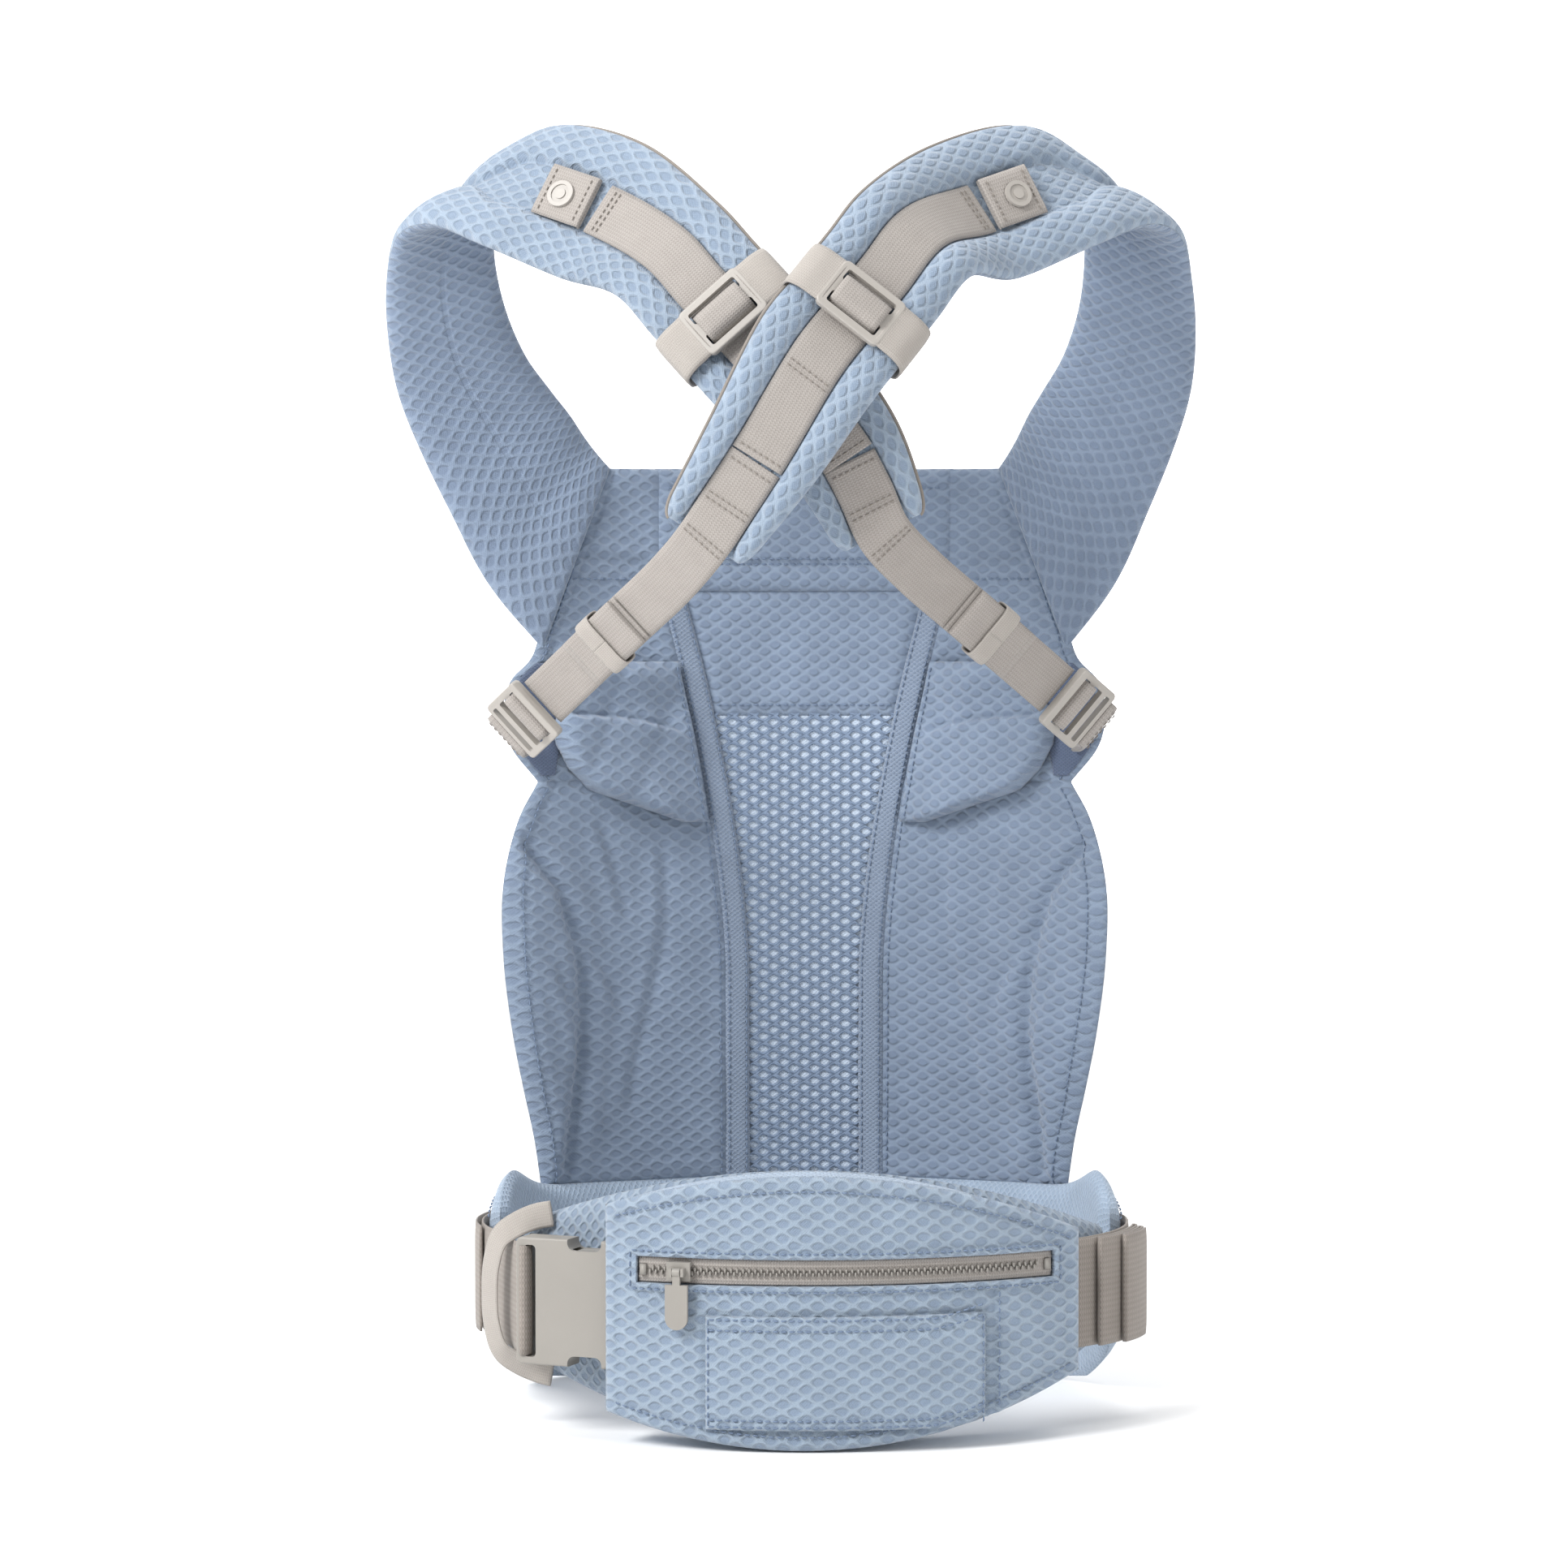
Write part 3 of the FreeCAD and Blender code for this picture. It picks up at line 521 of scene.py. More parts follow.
@dataclass(frozen=True)
class Webbing:
    """Woven polyester webbing: fine ribs across it and warp lines along it."""

    name: str
    light: str
    dark: str
    rib: float = 1.25
    warp: float = 1.7
    depth: float = 0.22

    def build(self) -> bpy.types.Material:
        """Ribs and warp lines that catch the light as a fine brick weave."""
        material, tree, shader = blank(self.name)
        uv = add_node(tree, "ShaderNodeUVMap", uv_map="UVMap")
        split = add_node(tree, "ShaderNodeSeparateXYZ", {0: uv})
        turn = 2 * math.pi / UV_SCALE
        warp = math_node(tree, "SINE", math_node(tree, "MULTIPLY", (split, 1), turn / self.warp))
        phase = math_node(tree, "MULTIPLY", warp, 1.3)
        rib = math_node(tree, "SINE", math_node(tree, "MULTIPLY_ADD", (split, 0), turn / self.rib, phase))
        weave = math_node(tree, "MULTIPLY_ADD", rib, 0.32, math_node(tree, "MULTIPLY_ADD", warp, 0.16, 0.5))
        fibre = add_node(tree, "ShaderNodeTexNoise", {"Vector": uv, "Scale": 420.0, "Detail": 2.0})
        height = math_node(tree, "MULTIPLY_ADD", (fibre, 0), 0.4, weave)
        bump = add_node(
            tree, "ShaderNodeBump", {"Height": height, "Strength": 0.8, "Distance": self.depth * 0.001}
        )
        tone = add_node(tree, "ShaderNodeTexNoise", {"Vector": uv, "Scale": 9.0, "Detail": 3.0})
        amount = math_node(tree, "MULTIPLY_ADD", (tone, 0), 0.35, math_node(tree, "MULTIPLY", weave, 0.75))
        mixed = add_node(
            tree, "ShaderNodeMix", {
                "Factor": amount, 6: linear(self.dark), 7: linear(self.light)
            }, data_type="RGBA"
        )
        tree.links.new(mixed.outputs[2], shader.inputs["Base Color"])
        tree.links.new(bump.outputs[0], shader.inputs["Normal"])
        shader.inputs["Roughness"].default_value = 0.72
        shader.inputs["Specular IOR Level"].default_value = 0.3
        shader.inputs["Sheen Weight"].default_value = 0.12
        return material


@dataclass(frozen=True)
class Moulded:
    """Injection-moulded acetal or nylon with a fine spark-eroded grain."""

    name: str
    colour: str
    roughness: float = 0.5
    grain: float = 900.0

    def build(self) -> bpy.types.Material:
        """Even colour with a faint cloudiness, and a grain too fine to see except in the highlights."""
        material, tree, shader = blank(self.name)
        place = add_node(tree, "ShaderNodeTexCoord")
        grain = add_node(
            tree, "ShaderNodeTexNoise", {"Vector": (place, "Object"), "Scale": self.grain, "Detail": 2.0}
        )
        cloud = add_node(
            tree, "ShaderNodeTexNoise", {"Vector": (place, "Object"), "Scale": 35.0, "Detail": 3.0}
        )
        shade = math_node(tree, "MULTIPLY_ADD", (cloud, 0), 0.12, 0.94)
        colour = add_node(
            tree, "ShaderNodeVectorMath", {0: linear(self.colour)[:3], "Scale": shade}, operation="SCALE"
        )
        bump = add_node(tree, "ShaderNodeBump", {"Height": (grain, 0), "Strength": 0.25, "Distance": 0.0002})
        tree.links.new(colour.outputs[0], shader.inputs["Base Color"])
        tree.links.new(bump.outputs[0], shader.inputs["Normal"])
        shader.inputs["Roughness"].default_value = self.roughness
        return material


@dataclass(frozen=True)
class Thread:
    """Spun polyester sewing thread."""

    name: str
    colour: str

    def build(self) -> bpy.types.Material:
        """Matt thread with fine twist marks."""
        material, tree, shader = blank(self.name)
        place = add_node(tree, "ShaderNodeTexCoord")
        twist = add_node(
            tree, "ShaderNodeTexNoise", {"Vector": (place, "Object"), "Scale": 1500.0, "Detail": 1.0}
        )
        shade = math_node(tree, "MULTIPLY_ADD", (twist, 0), 0.3, 0.85)
        colour = add_node(
            tree, "ShaderNodeVectorMath", {0: linear(self.colour)[:3], "Scale": shade}, operation="SCALE"
        )
        tree.links.new(colour.outputs[0], shader.inputs["Base Color"])
        shader.inputs["Roughness"].default_value = 0.8
        return material


@dataclass
class Finishes:
    """Every finish on the carrier, made once."""

    outer: bpy.types.Material = field(init=False)
    strap: bpy.types.Material = field(init=False)
    strap_underside_shade: bpy.types.Material = field(init=False)
    inner: bpy.types.Material = field(init=False)
    plain: bpy.types.Material = field(init=False)
    navy: bpy.types.Material = field(init=False)
    binding: bpy.types.Material = field(init=False)
    open_mesh: bpy.types.Material = field(init=False)
    mesh_painted_light_sheet: bpy.types.Material = field(init=False)
    mesh_outside_painted_light: bpy.types.Material = field(init=False)
    webbing: bpy.types.Material = field(init=False)
    broad_webbing: bpy.types.Material = field(init=False)
    elastic: bpy.types.Material = field(init=False)
    plastic: bpy.types.Material = field(init=False)
    pale_plastic: bpy.types.Material = field(init=False)
    thread_blue_seam_shade: bpy.types.Material = field(init=False)
    thread_beige_seam_shade: bpy.types.Material = field(init=False)

    def __post_init__(self) -> None:
        """Builds the materials."""
        # the knit's diamonds are about 6.8 by 10.4 mm on the large pieces, turned along each one
        self.outer = AirMesh("air_mesh_outer", "#94A3B3", "#73849B", 6.7, 10.6, 1.1, 0.62).build()
        self.strap = AirMesh("air_mesh_strap", "#92A1B2", "#74859B", 10.4, 6.8, 1.1, 0.62).build()
        # The strap's underside takes a darker copy of its knit: painted shade on the underside.
        self.strap_underside_shade = AirMesh("air_mesh_strap_underside_shade", "#808FA4", "#69788F", 6.8, 10.2, 1.0, 0.62).build()
        # The inner fabric is a darker copy of the outer knit: painted shade inside the panel's hollow.
        self.inner = AirMesh("air_mesh_inner_painted_shade", "#8190A4", "#6A7990", 6.8, 10.2, 0.9, 0.6).build()
        self.plain = AirMesh("air_mesh_smooth", "#9FAFC1", "#8C9DB2", 3.4, 4.6, 0.5, 0.6).build()
        # navy: painted shade, for the sheet on the wing's underside round the lock.
        self.navy = AirMesh("shade_sheet_navy", "#56637C", "#465268", 1.6, 2.0, 0.2, 0.5).build()
        self.binding = AirMesh("binding_tape", "#8592A5", "#6F7E93", 2.2, 3.0, 0.4, 0.7).build()
        self.open_mesh = Thread("open_mesh_knit", "#73839A").build()
        # The pale sheet behind the open mesh paints the light seen through its holes; its outer face paints
        # the mesh with lighter holes, painted light through them.
        self.mesh_painted_light_sheet = AirMesh("mesh_painted_light_sheet_knit", "#C0CDDD", "#B2C1D3", 1.6, 2.0, 0.2, 0.4).build()
        self.mesh_outside_painted_light = AirMesh("open_mesh_outside_painted_light", "#7787A0", "#A6B6CA", 6.4, 10.2, 0.9, 0.9).build()
        self.webbing = Webbing("polyester_webbing", "#A8A29D", "#87817C").build()
        self.broad_webbing = Webbing("polyester_webbing_broad", "#989089", "#78716B", 1.5, 2.6).build()
        self.elastic = Webbing("woven_elastic", "#B0AAA4", "#938D87", 0.9, 1.3, 0.18).build()
        self.plastic = Moulded("moulded_acetal", "#8F8B85", 0.48).build()
        self.pale_plastic = Moulded("moulded_acetal_pale", "#A29D97", 0.42).build()
        # The threads are darker than the fabric and webbing they sit on: partly the thread's colour, partly
        # painted shade of the sunk seam lines.
        self.thread_blue_seam_shade = Thread("sewing_thread_blue_seam_shade", "#6B7B92").build()
        self.thread_beige_seam_shade = Thread("sewing_thread_beige_seam_shade", "#837C75").build()


# ---------------------------------------------------------------- waist


@dataclass(frozen=True)
class Oval:
    """The waist's plan: two broad arcs and two tight ones."""

    half_width: float = 138.0
    half_depth: float = 100.0
    arc: float = 170.0

    def at(self, angle: Array, offset: Array, z: Array) -> Array:
        """Points at outward angles in degrees, offsets and heights."""
        angle, offset, z = np.broadcast_arrays(*[np.asarray(a, float) for a in (angle, offset, z)])
        turned = (angle + 180) % 360 - 180
        drop = self.arc - self.half_depth
        side = (self.arc**2 - self.half_width**2 - drop**2) / (2 * (self.arc - self.half_width))
        across = self.half_width - side
        tangency = math.degrees(math.atan2(across, drop))
        near, far = np.abs(turned) <= tangency, np.abs(turned) >= 180 - tangency
        radius = np.where(near | far, self.arc, side) + offset
        cx = np.where(near | far, 0, np.sign(turned) * across)
        cy = np.where(near, drop, np.where(far, -drop, 0))
        a = np.radians(angle)
        return np.stack([cx + radius * np.sin(a), cy - radius * np.cos(a), z], axis=-1)

    @staticmethod
    def outward(angle: Array) -> Array:
        """Unit normals at outward angles in degrees."""
        a = np.radians(np.asarray(angle, float))
        return np.stack([np.sin(a), -np.cos(a), np.zeros_like(a)], axis=-1)

    @staticmethod
    def along(angle: float) -> Array:
        """Unit vector round the waist at an outward angle in degrees."""
        return np.array([math.cos(math.radians(angle)), math.sin(math.radians(angle)), 0])


OVAL = Oval()


def arc_height(x: Array, left: tuple, middle: tuple, right: tuple) -> Array:
    """Height at x of the circle arc through three (x, height) points."""
    (x1, y1), (x2, y2), (x3, y3) = left, middle, right
    d = 2 * (x1 * (y2 - y3) + x2 * (y3 - y1) + x3 * (y1 - y2))
    s1, s2, s3 = x1**2 + y1**2, x2**2 + y2**2, x3**2 + y3**2
    cx = (s1 * (y2 - y3) + s2 * (y3 - y1) + s3 * (y1 - y2)) / d
    cy = (s1 * (x3 - x2) + s2 * (x1 - x3) + s3 * (x2 - x1)) / d
    radius = math.hypot(x1 - cx, y1 - cy)
    return cy + math.copysign(1, y2 - cy) * np.sqrt(np.maximum(radius**2 - (x - cx) ** 2, 0))


@dataclass
class Waist:
    """Waist belt, lumbar pad, zipped pouch, and the webbing that closes them."""

    shop: Workshop
    finish: Finishes
    pad: float = 14.0
    floor: float = 5.0
    line: float = 66.0
    web: float = 50.0
    web_thick: float = 1.6
    pouch_gap: float = 32.4
    pouch_left: float = -91.0
    pouch_right: float = 125.0
    zip_left: float = -76.0
    zip_right: float = 112.0
    zip_line: float = 85.0
    zip_half: float = 6.0
    patch_left: float = -44.6
    patch_right: float = 79.6
    patch_low: float = 14.8
    patch_high: float = 65.7

    def low(self, x: Array) -> Array:
        """Lower outline of the lumbar pad and pouch."""
        return arc_height(x, (-147, 45), (-1.5, self.floor), (144, 45))

    def high(self, x: Array) -> Array:
        """Upper outline of the lumbar pad and pouch."""
        return arc_height(x, (-147, 88), (-1.5, 128), (144, 90))

    def angle(self, x: Array) -> Array:
        """Outward angle of a sideways place on the pouch's front."""
        return np.degrees(np.arcsin(np.asarray(x, float) / (OVAL.arc + self.pouch_gap + 5)))

    def belt(self) -> None:
        """The far half: one padded piece whose wings taper to the webbing."""
        n, m = 190, 34
        angle = np.linspace(86, 274, n)[:, None]
        t = np.linspace(0, 1, m)[None, :]
        y = OVAL.at(angle, 7, 0)[..., 1]
        low = np.interp(y, [-14, 6, 36, 62, 125], [39, 27, 9.5, self.floor, self.floor])
        high = 99.5 + 11.5 * bell(y - 26, 19) - 9.5 * smooth(8, -14, y)
        crown = np.sqrt(1 - np.abs(2 * t - 1) ** 5) * smooth(0, 0.035, np.linspace(0, 1, n)[:, None]) ** 0.5
        crown = crown * smooth(0, 0.035, 1 - np.linspace(0, 1, n)[:, None]) ** 0.5
        z = low + (high - low) * t
        rolls = 0.7 * Noise(3)(angle / 11, t * 2) * crown
        top = OVAL.at(angle, 7 + 6.2 * crown + rolls, z)
        bottom = OVAL.at(angle, 7 - 6.2 * crown + rolls, z)
        obj = self.shop.shell("waist_belt_cover", top, bottom)
        puff(obj, rim(n, m), 1.5, 2.0)
        refine(obj)
        self.shop.dress(obj, self.finish.plain, "air_mesh", stands_for=["waist_belt", "waist_foam"])
        normals = OVAL.outward(angle[4:-4:2, 0])
        seams = [stitch for column in (4, -5) for stitch in stitches(top[4:-4:2, column], normals, lift=0.6)]
        self.shop.sew("waist_belt_stitches", seams, self.finish.thread_blue_seam_shade)

    def lumbar(self) -> None:
        """The near half: a lens-shaped pad behind the pouch."""
        n, m = 150, 40
        angle = np.linspace(-71.5, 65.5, n)[:, None]
        s, t = np.linspace(0, 1, n)[:, None], np.linspace(0, 1, m)[None, :]
        x = OVAL.at(angle, 7, 0)[..., 0]
        z = self.low(x) + 0.6 + (self.high(x) - self.low(x) - 1.2) * t
        crown = np.sqrt(1 - np.abs(2 * t - 1) ** 4) * np.sqrt(1 - np.abs(2 * s - 1) ** 30)
        top, bottom = OVAL.at(angle, 7 + 6.2 * crown, z), OVAL.at(angle, 7 - 6.2 * crown, z)
        obj = self.shop.shell("lumbar_pad_cover", top, bottom)
        puff(obj, rim(n, m), 1.5, 1.5)
        refine(obj)
        self.shop.dress(obj, self.finish.outer, "air_mesh", stands_for=["lumbar_pad", "lumbar_foam"])

    def pouch(self) -> None:
        """The pouch's front with its zip window, its back and gusset, and the patch pocket."""
        inner, outer = self.pouch_gap + 2.4, self.pouch_gap + 5.4
        ends = [self.zip_left, self.zip_right]
        xs = np.unique(np.concatenate([np.linspace(self.pouch_left, self.pouch_right, 132), ends]))
        n, m = len(xs), 84
        top_z, bottom_z = self.high(xs) - 0.3, self.low(xs) + 0.3
        window = self.zip_line + np.array([-self.zip_half, self.zip_half])
        j0, j1 = 50, 62
        z = np.empty((n, m))
        for k in range(n):
            z[k, : j0 + 1] = np.linspace(bottom_z[k], window[0], j0 + 1)
            z[k, j0 : j1 + 1] = np.linspace(window[0], window[1], j1 - j0 + 1)
            z[k, j1:] = np.linspace(window[1], top_z[k], m - j1)
        gx = np.broadcast_to(xs[:, None], (n, m))
        edge = np.minimum.reduce(
            [z - bottom_z[:, None], top_z[:, None] - z, gx - self.pouch_left, self.pouch_right - gx]
        )
        rounding = 2.2 * (1 - pillow(edge, 5))
        zip_gap = np.maximum(
            np.maximum(self.zip_left - gx, gx - self.zip_right), np.abs(z - self.zip_line) - self.zip_half
        )
        fold = 0.9 * bell(zip_gap - 1.4, 1.3) - 0.7 * bell(zip_gap - 3.6, 1.2)
        waves = 1.1 * Noise(11)(gx / 34 + 4, z / 26) + 0.5 * Noise(12)(gx / 13, z / 15)
        waves = waves * smooth(2, 16, edge) * smooth(0, 9, zip_gap)
        seam = -1.6 * bell(gx - 84.5, 0.9) + 0.7 * bell(gx - 87.3, 1.6)
        seam = seam * smooth(1, -3, z - self.zip_line + 8)
        hem = -0.7 * bell(edge - 6.5, 1.0)
        beside = np.maximum(self.patch_left - gx, gx - self.patch_right)
        patch_gap = np.maximum(beside, np.maximum(self.patch_low - z, z - self.patch_high))
        hem = hem - 1.3 * bell(patch_gap - 0.6, 1.0)
        offset = outer - rounding + fold + waves + seam + hem
        top = OVAL.at(self.angle(xs)[:, None], offset, z)
        bottom = OVAL.at(self.angle(xs)[:, None], np.full_like(z, inner), z)
        uv = np.stack([gx * 1.02, z], axis=-1)
        obj = self.shop.shell("pouch_front_cover", top, bottom, uv[..., ::-1])
        self.cut_window(obj, n, m, xs, j0, j1)
        self.shop.dress(obj, self.finish.outer, "air_mesh", stands_for=["pouch_front"])

        def seam_line(points: Array) -> list:
            """Stitches along (x, height, offset) points on the front."""
            p = OVAL.at(self.angle(points[:, 0]), points[:, 2], points[:, 1])
            return stitches(p, OVAL.outward(self.angle(points[:, 0])), lift=0.18)

        x = np.linspace(self.zip_left - 2.4, self.zip_right + 2.4, 60)
        found = []
        for dz in (-8.6, 8.6):
            found += seam_line(
                np.stack([x, np.full_like(x, self.zip_line + dz), np.full_like(x, outer + 0.3)], 1)
            )
        for xe in (self.zip_left - 2.6, self.zip_right + 2.6):
            zz = np.linspace(self.zip_line - 8.6, self.zip_line + 8.6, 12)
            found += seam_line(np.stack([np.full_like(zz, xe), zz, np.full_like(zz, outer + 0.3)], 1))
        zz = np.linspace(float(self.low(np.array(82.0))) + 5, self.zip_line - 10, 40)
        found += seam_line(np.stack([np.full_like(zz, 86.2), zz, np.full_like(zz, outer + 0.5)], 1))
        x = np.linspace(self.pouch_left + 5, self.pouch_right - 5, 120)
        found += seam_line(np.stack([x, self.high(x) - 6.6, np.full_like(x, outer - 0.1)], 1))
        found += seam_line(np.stack([x, self.low(x) + 6.6, np.full_like(x, outer - 0.1)], 1))
        self.shop.sew("pouch_stitches", found, self.finish.thread_blue_seam_shade)
        self.pouch_back_and_sides()
        self.patch(outer)

    def cut_window(self, obj: bpy.types.Object, n: int, m: int, xs: Array, j0: int, j1: int) -> None:
        """Opens the zip window in the pouch's front and walls its sides."""
        i0, i1 = int(np.searchsorted(xs, self.zip_left)), int(np.searchsorted(xs, self.zip_right))
        edit = bmesh.new()
        edit.from_mesh(obj.data)
        edit.verts.ensure_lookup_table()
        lookup = list(edit.verts)
        doomed = []
        for face in edit.faces:
            grid = [v.index % (n * m) for v in face.verts]
            layers = {v.index // (n * m) for v in face.verts}
            rows, columns = [g // m for g in grid], [g % m for g in grid]
            if len(layers) == 1 and min(rows) >= i0 and max(rows) <= i1 and min(columns) >= j0 and max(
                columns
            ) <= j1:
                doomed.append(face)
        bmesh.ops.delete(edit, geom=doomed, context="FACES_ONLY")
        ring = [(i, j0) for i in range(i0, i1)] + [(i1, j) for j in range(j0, j1)]
        ring += [(i, j1) for i in range(i1, i0, -1)] + [(i0, j) for j in range(j1, j0, -1)]
        layer = edit.loops.layers.uv.active
        for (a, b), (c, d) in zip(ring, ring[1:] + ring[:1]):
            one, two = a * m + b, c * m + d
            face = edit.faces.new([lookup[k] for k in (one, two, two + n * m, one + n * m)])
            face.smooth = True
            for loop, place in zip(face.loops, ((a, b), (c, d), (c, d), (a, b))):
                loop[layer].uv = (UV_SCALE * place[1] * 1.2, UV_SCALE * xs[place[0]])
        bmesh.ops.delete(edit, geom=[e for e in edit.edges if not e.link_faces], context="EDGES")
        bmesh.ops.delete(edit, geom=[v for v in edit.verts if not v.link_edges], context="VERTS")
        edit.normal_update()
        edit.to_mesh(obj.data)
        edit.free()

    def pouch_back_and_sides(self) -> None:
        """The pouch's back against the buckle, and the gusset along its top and bottom."""
        angle = self.angle(np.linspace(self.pouch_left, self.pouch_right, 90))[:, None]
        x = np.linspace(self.pouch_left, self.pouch_right, 90)[:, None]
        t = np.linspace(0, 1, 24)[None, :]
        z = self.low(x) + 0.4 + (self.high(x) - self.low(x) - 0.8) * t
        back = self.shop.shell(
            "pouch_back_cover", OVAL.at(angle, self.pouch_gap + 1.9, z), OVAL.at(
                angle, self.pouch_gap + 0.1, z
            )
        )
        self.shop.dress(back, self.finish.plain, "air_mesh", stands_for=["pouch_back"])
        depth = np.linspace(self.pad + 0.4, self.pouch_gap - 0.4, 14)[None, :]
        for name, edge, inward in (("top", self.high, -1.0), ("bottom", self.low, 1.0)):
            sag = 1.0 * np.sin(np.linspace(0, np.pi, 14))[None, :]
            level = edge(x) + inward * (0.2 + sag)
            outer = OVAL.at(angle, depth, level)
            inner = OVAL.at(angle, depth, level + inward * 1.6)
            pair = (outer, inner) if inward < 0 else (inner, outer)
            obj = self.shop.shell(f"pouch_gusset_{name}", *pair)
            self.shop.dress(obj, self.finish.plain, "air_mesh", stands_for=["pouch_gusset"])

    def patch(self, base: float) -> None:
        """The patch pocket, with its turned hems and double stitch lines."""
        left, right, low, high = self.patch_left, self.patch_right, self.patch_low, self.patch_high
        xs, zs = np.linspace(left, right, 84), np.linspace(low, high, 40)
        x, z = np.meshgrid(xs, zs, indexing="ij")
        z = z + np.maximum(0, self.low(x) + 2.2 - low) * (high - z) / (high - low)
        edge = np.minimum.reduce([x - left, right - x, z - low, high - z])
        puffed = 1.1 + 0.9 * smooth(0, 2.0, edge) - 0.5 * bell(
            high - z - 6.4, 0.9
        ) - 0.5 * bell(z - low - 4.4, 0.9)
        puffed = puffed + 0.55 * Noise(21)(x / 24, z / 18) * smooth(4, 12, edge)
        offset = base + 0.35 + puffed
        top = OVAL.at(self.angle(x), offset, z)
        bottom = OVAL.at(self.angle(x), base + 0.25 + 0 * z, z)
        obj = self.shop.shell("patch_pocket_cover", top, bottom, np.stack([z, x * 1.02], axis=-1))
        self.shop.dress(obj, self.finish.outer, "air_mesh", stands_for=["patch_pocket"])
        found = []
        for level in (high - 1.6, high - 6.4, low + 1.4, low + 4.4):
            x = np.linspace(left + 1, right - 1, 60)
            points = OVAL.at(self.angle(x), base + 2.0, np.maximum(level, self.low(x) + 3.8 + level - low))
            found += stitches(points, OVAL.outward(self.angle(x)))
        for side in (left + 1.2, right - 1.2):
            z = np.linspace(low + 1, high - 1, 30)
            points = OVAL.at(self.angle(np.full_like(z, side)), base + 1.9, z)
            found += stitches(points, OVAL.outward(self.angle(np.full_like(z, side))))
        self.shop.sew("patch_stitches", found, self.finish.thread_blue_seam_shade)

    def zip(self) -> None:
        """Tape with its woven edges, and two rows of coil teeth with end stops."""
        base = self.pouch_gap + 2.5
        xs = np.linspace(self.zip_left + 0.5, self.zip_right - 0.5, 110)
        zs = self.zip_line + np.linspace(-5.6, 5.6, 15)
        z = np.broadcast_to(zs, (len(xs), len(zs)))
        ridge = 0.55 * bell(np.abs(z - self.zip_line) - 3.2, 0.6) - 0.25 * bell(z - self.zip_line, 0.5)
        top = OVAL.at(self.angle(xs)[:, None], base + 1.0 + ridge, z)
        bottom = OVAL.at(self.angle(xs)[:, None], base + 0 * z, z)
        tape = self.shop.shell("zip_tape_weave", top, bottom)
        self.shop.dress(tape, self.finish.webbing, "webbing", stands_for=["zip_tape"])
        teeth, lift = [], base + 2.1
        pitch = 1.35
        count = int((self.zip_right - self.zip_left - 12) / pitch)
        corner = np.array([[a, b, c] for a in (-1, 1) for b in (-1, 1) for c in (-1, 1)], float)
        sides = [[0, 1, 3, 2], [4, 6, 7, 5], [0, 4, 5, 1], [2, 3, 7, 6], [0, 2, 6, 4], [1, 5, 7, 3]]
        for k in range(count):
            x = self.zip_left + 6 + k * pitch
            angle = float(self.angle(x))
            out, along = OVAL.outward(angle), OVAL.along(angle)
            tilt = 1 if k % 2 else -1
            middle = OVAL.at(angle, lift, self.zip_line + tilt * 0.75)
            slim = np.where(corner[:, 1:2] > 0, 0.75, 1.0)
            points = middle + corner[:, :1] * 0.46 * along * slim
            points = points + corner[:, 1:2] * 0.8 * out + corner[:, 2:] * 1.15 * np.array([0, 0, 1.0]) * slim
            teeth.append((points, sides))
        for x in (self.zip_left + 2.9, self.zip_right - 2.9):
            angle = float(self.angle(x))
            out, along = OVAL.outward(angle), OVAL.along(angle)
            points = OVAL.at(angle, lift, self.zip_line) + corner[:, :1] * 1.4 * along
            points = points + corner[:, 1:2] * 0.9 * out + corner[:, 2:] * 2.4 * np.array([0, 0, 1.0])
            teeth.append((points, sides))
        obj = self.shop.solids("zip_coil", teeth)
        self.shop.dress(obj, self.finish.plastic, "zip_plastic", stands_for=["zip_teeth"])

    def webbing(self) -> None:
        """Broad waist webbing at both sides, its folded tails, and the plug's loop."""
        low, high = self.line - self.web / 2, self.line + self.web / 2
        over = self.pad + 0.4 + self.web_thick / 2
        place = Buckle()
        along, middle = place.along, place.middle
        end = middle + along * -59.5
        angles = np.linspace(-118, -66, 40)
        route = OVAL.at(angles, over, 0.0)[:, :2]
        entry = np.array([end[:2] - (end[:2] - route[-1]) * t for t in (0.66, 0.33, 0.0)])
        loop = np.array(
            [
                (middle + along * w + place.out * v)[:2]
                for w, v in ((-58.6, 0.6), (-56.2, 6.9), (-54.6, 6.6), (-53.2, 2.0))
            ]
        )
        path = np.vstack([route, entry, loop])
        self.strip("waist_webbing_left_weave", path, low, high, ["waist_webbing_left"], 150)
        tail = OVAL.at(
            np.linspace(-112, -75, 40), over + 2.4 + 0.6 * np.sin(np.linspace(0, 3, 40)), 0.0
        )[:, :2]
        self.strip("waist_webbing_left_tail", tail, low, high, ["waist_webbing_left"], 60)
        angles = np.linspace(-22, 118, 120)
        self.strip(
            "waist_webbing_right_weave",
            OVAL.at(angles, over, 0)[:, :2],
            low,
            high,
            ["waist_webbing_right"],
            150,
        )
        folds = []
        for k, (start, stop) in enumerate(((42, 80), (78, 50), (49, 76), (75, 59), (58, 73))):
            bow = 0.35 * np.sin(np.linspace(0, np.pi, 16))
            folds.append(OVAL.at(np.linspace(start, stop, 16), 18.4 + 1.9 * k + bow, 0)[:, :2])
        self.strip("waist_tail_right_weave", np.vstack(folds), low, high, ["waist_tail_right"], 170)
        w, v = [4.6, 4.6, 7.7, 10.9, 10.9], [-5.0, 5.0, 5.6, 5.0, -5.0]
        loop = np.array([(middle + along * a + place.out * b)[:2] for a, b in zip(w, v)])
        self.strip("plug_loop_weave", loop, low + 0.8, high - 0.8, ["plug_loop"], 40, "plug_body")

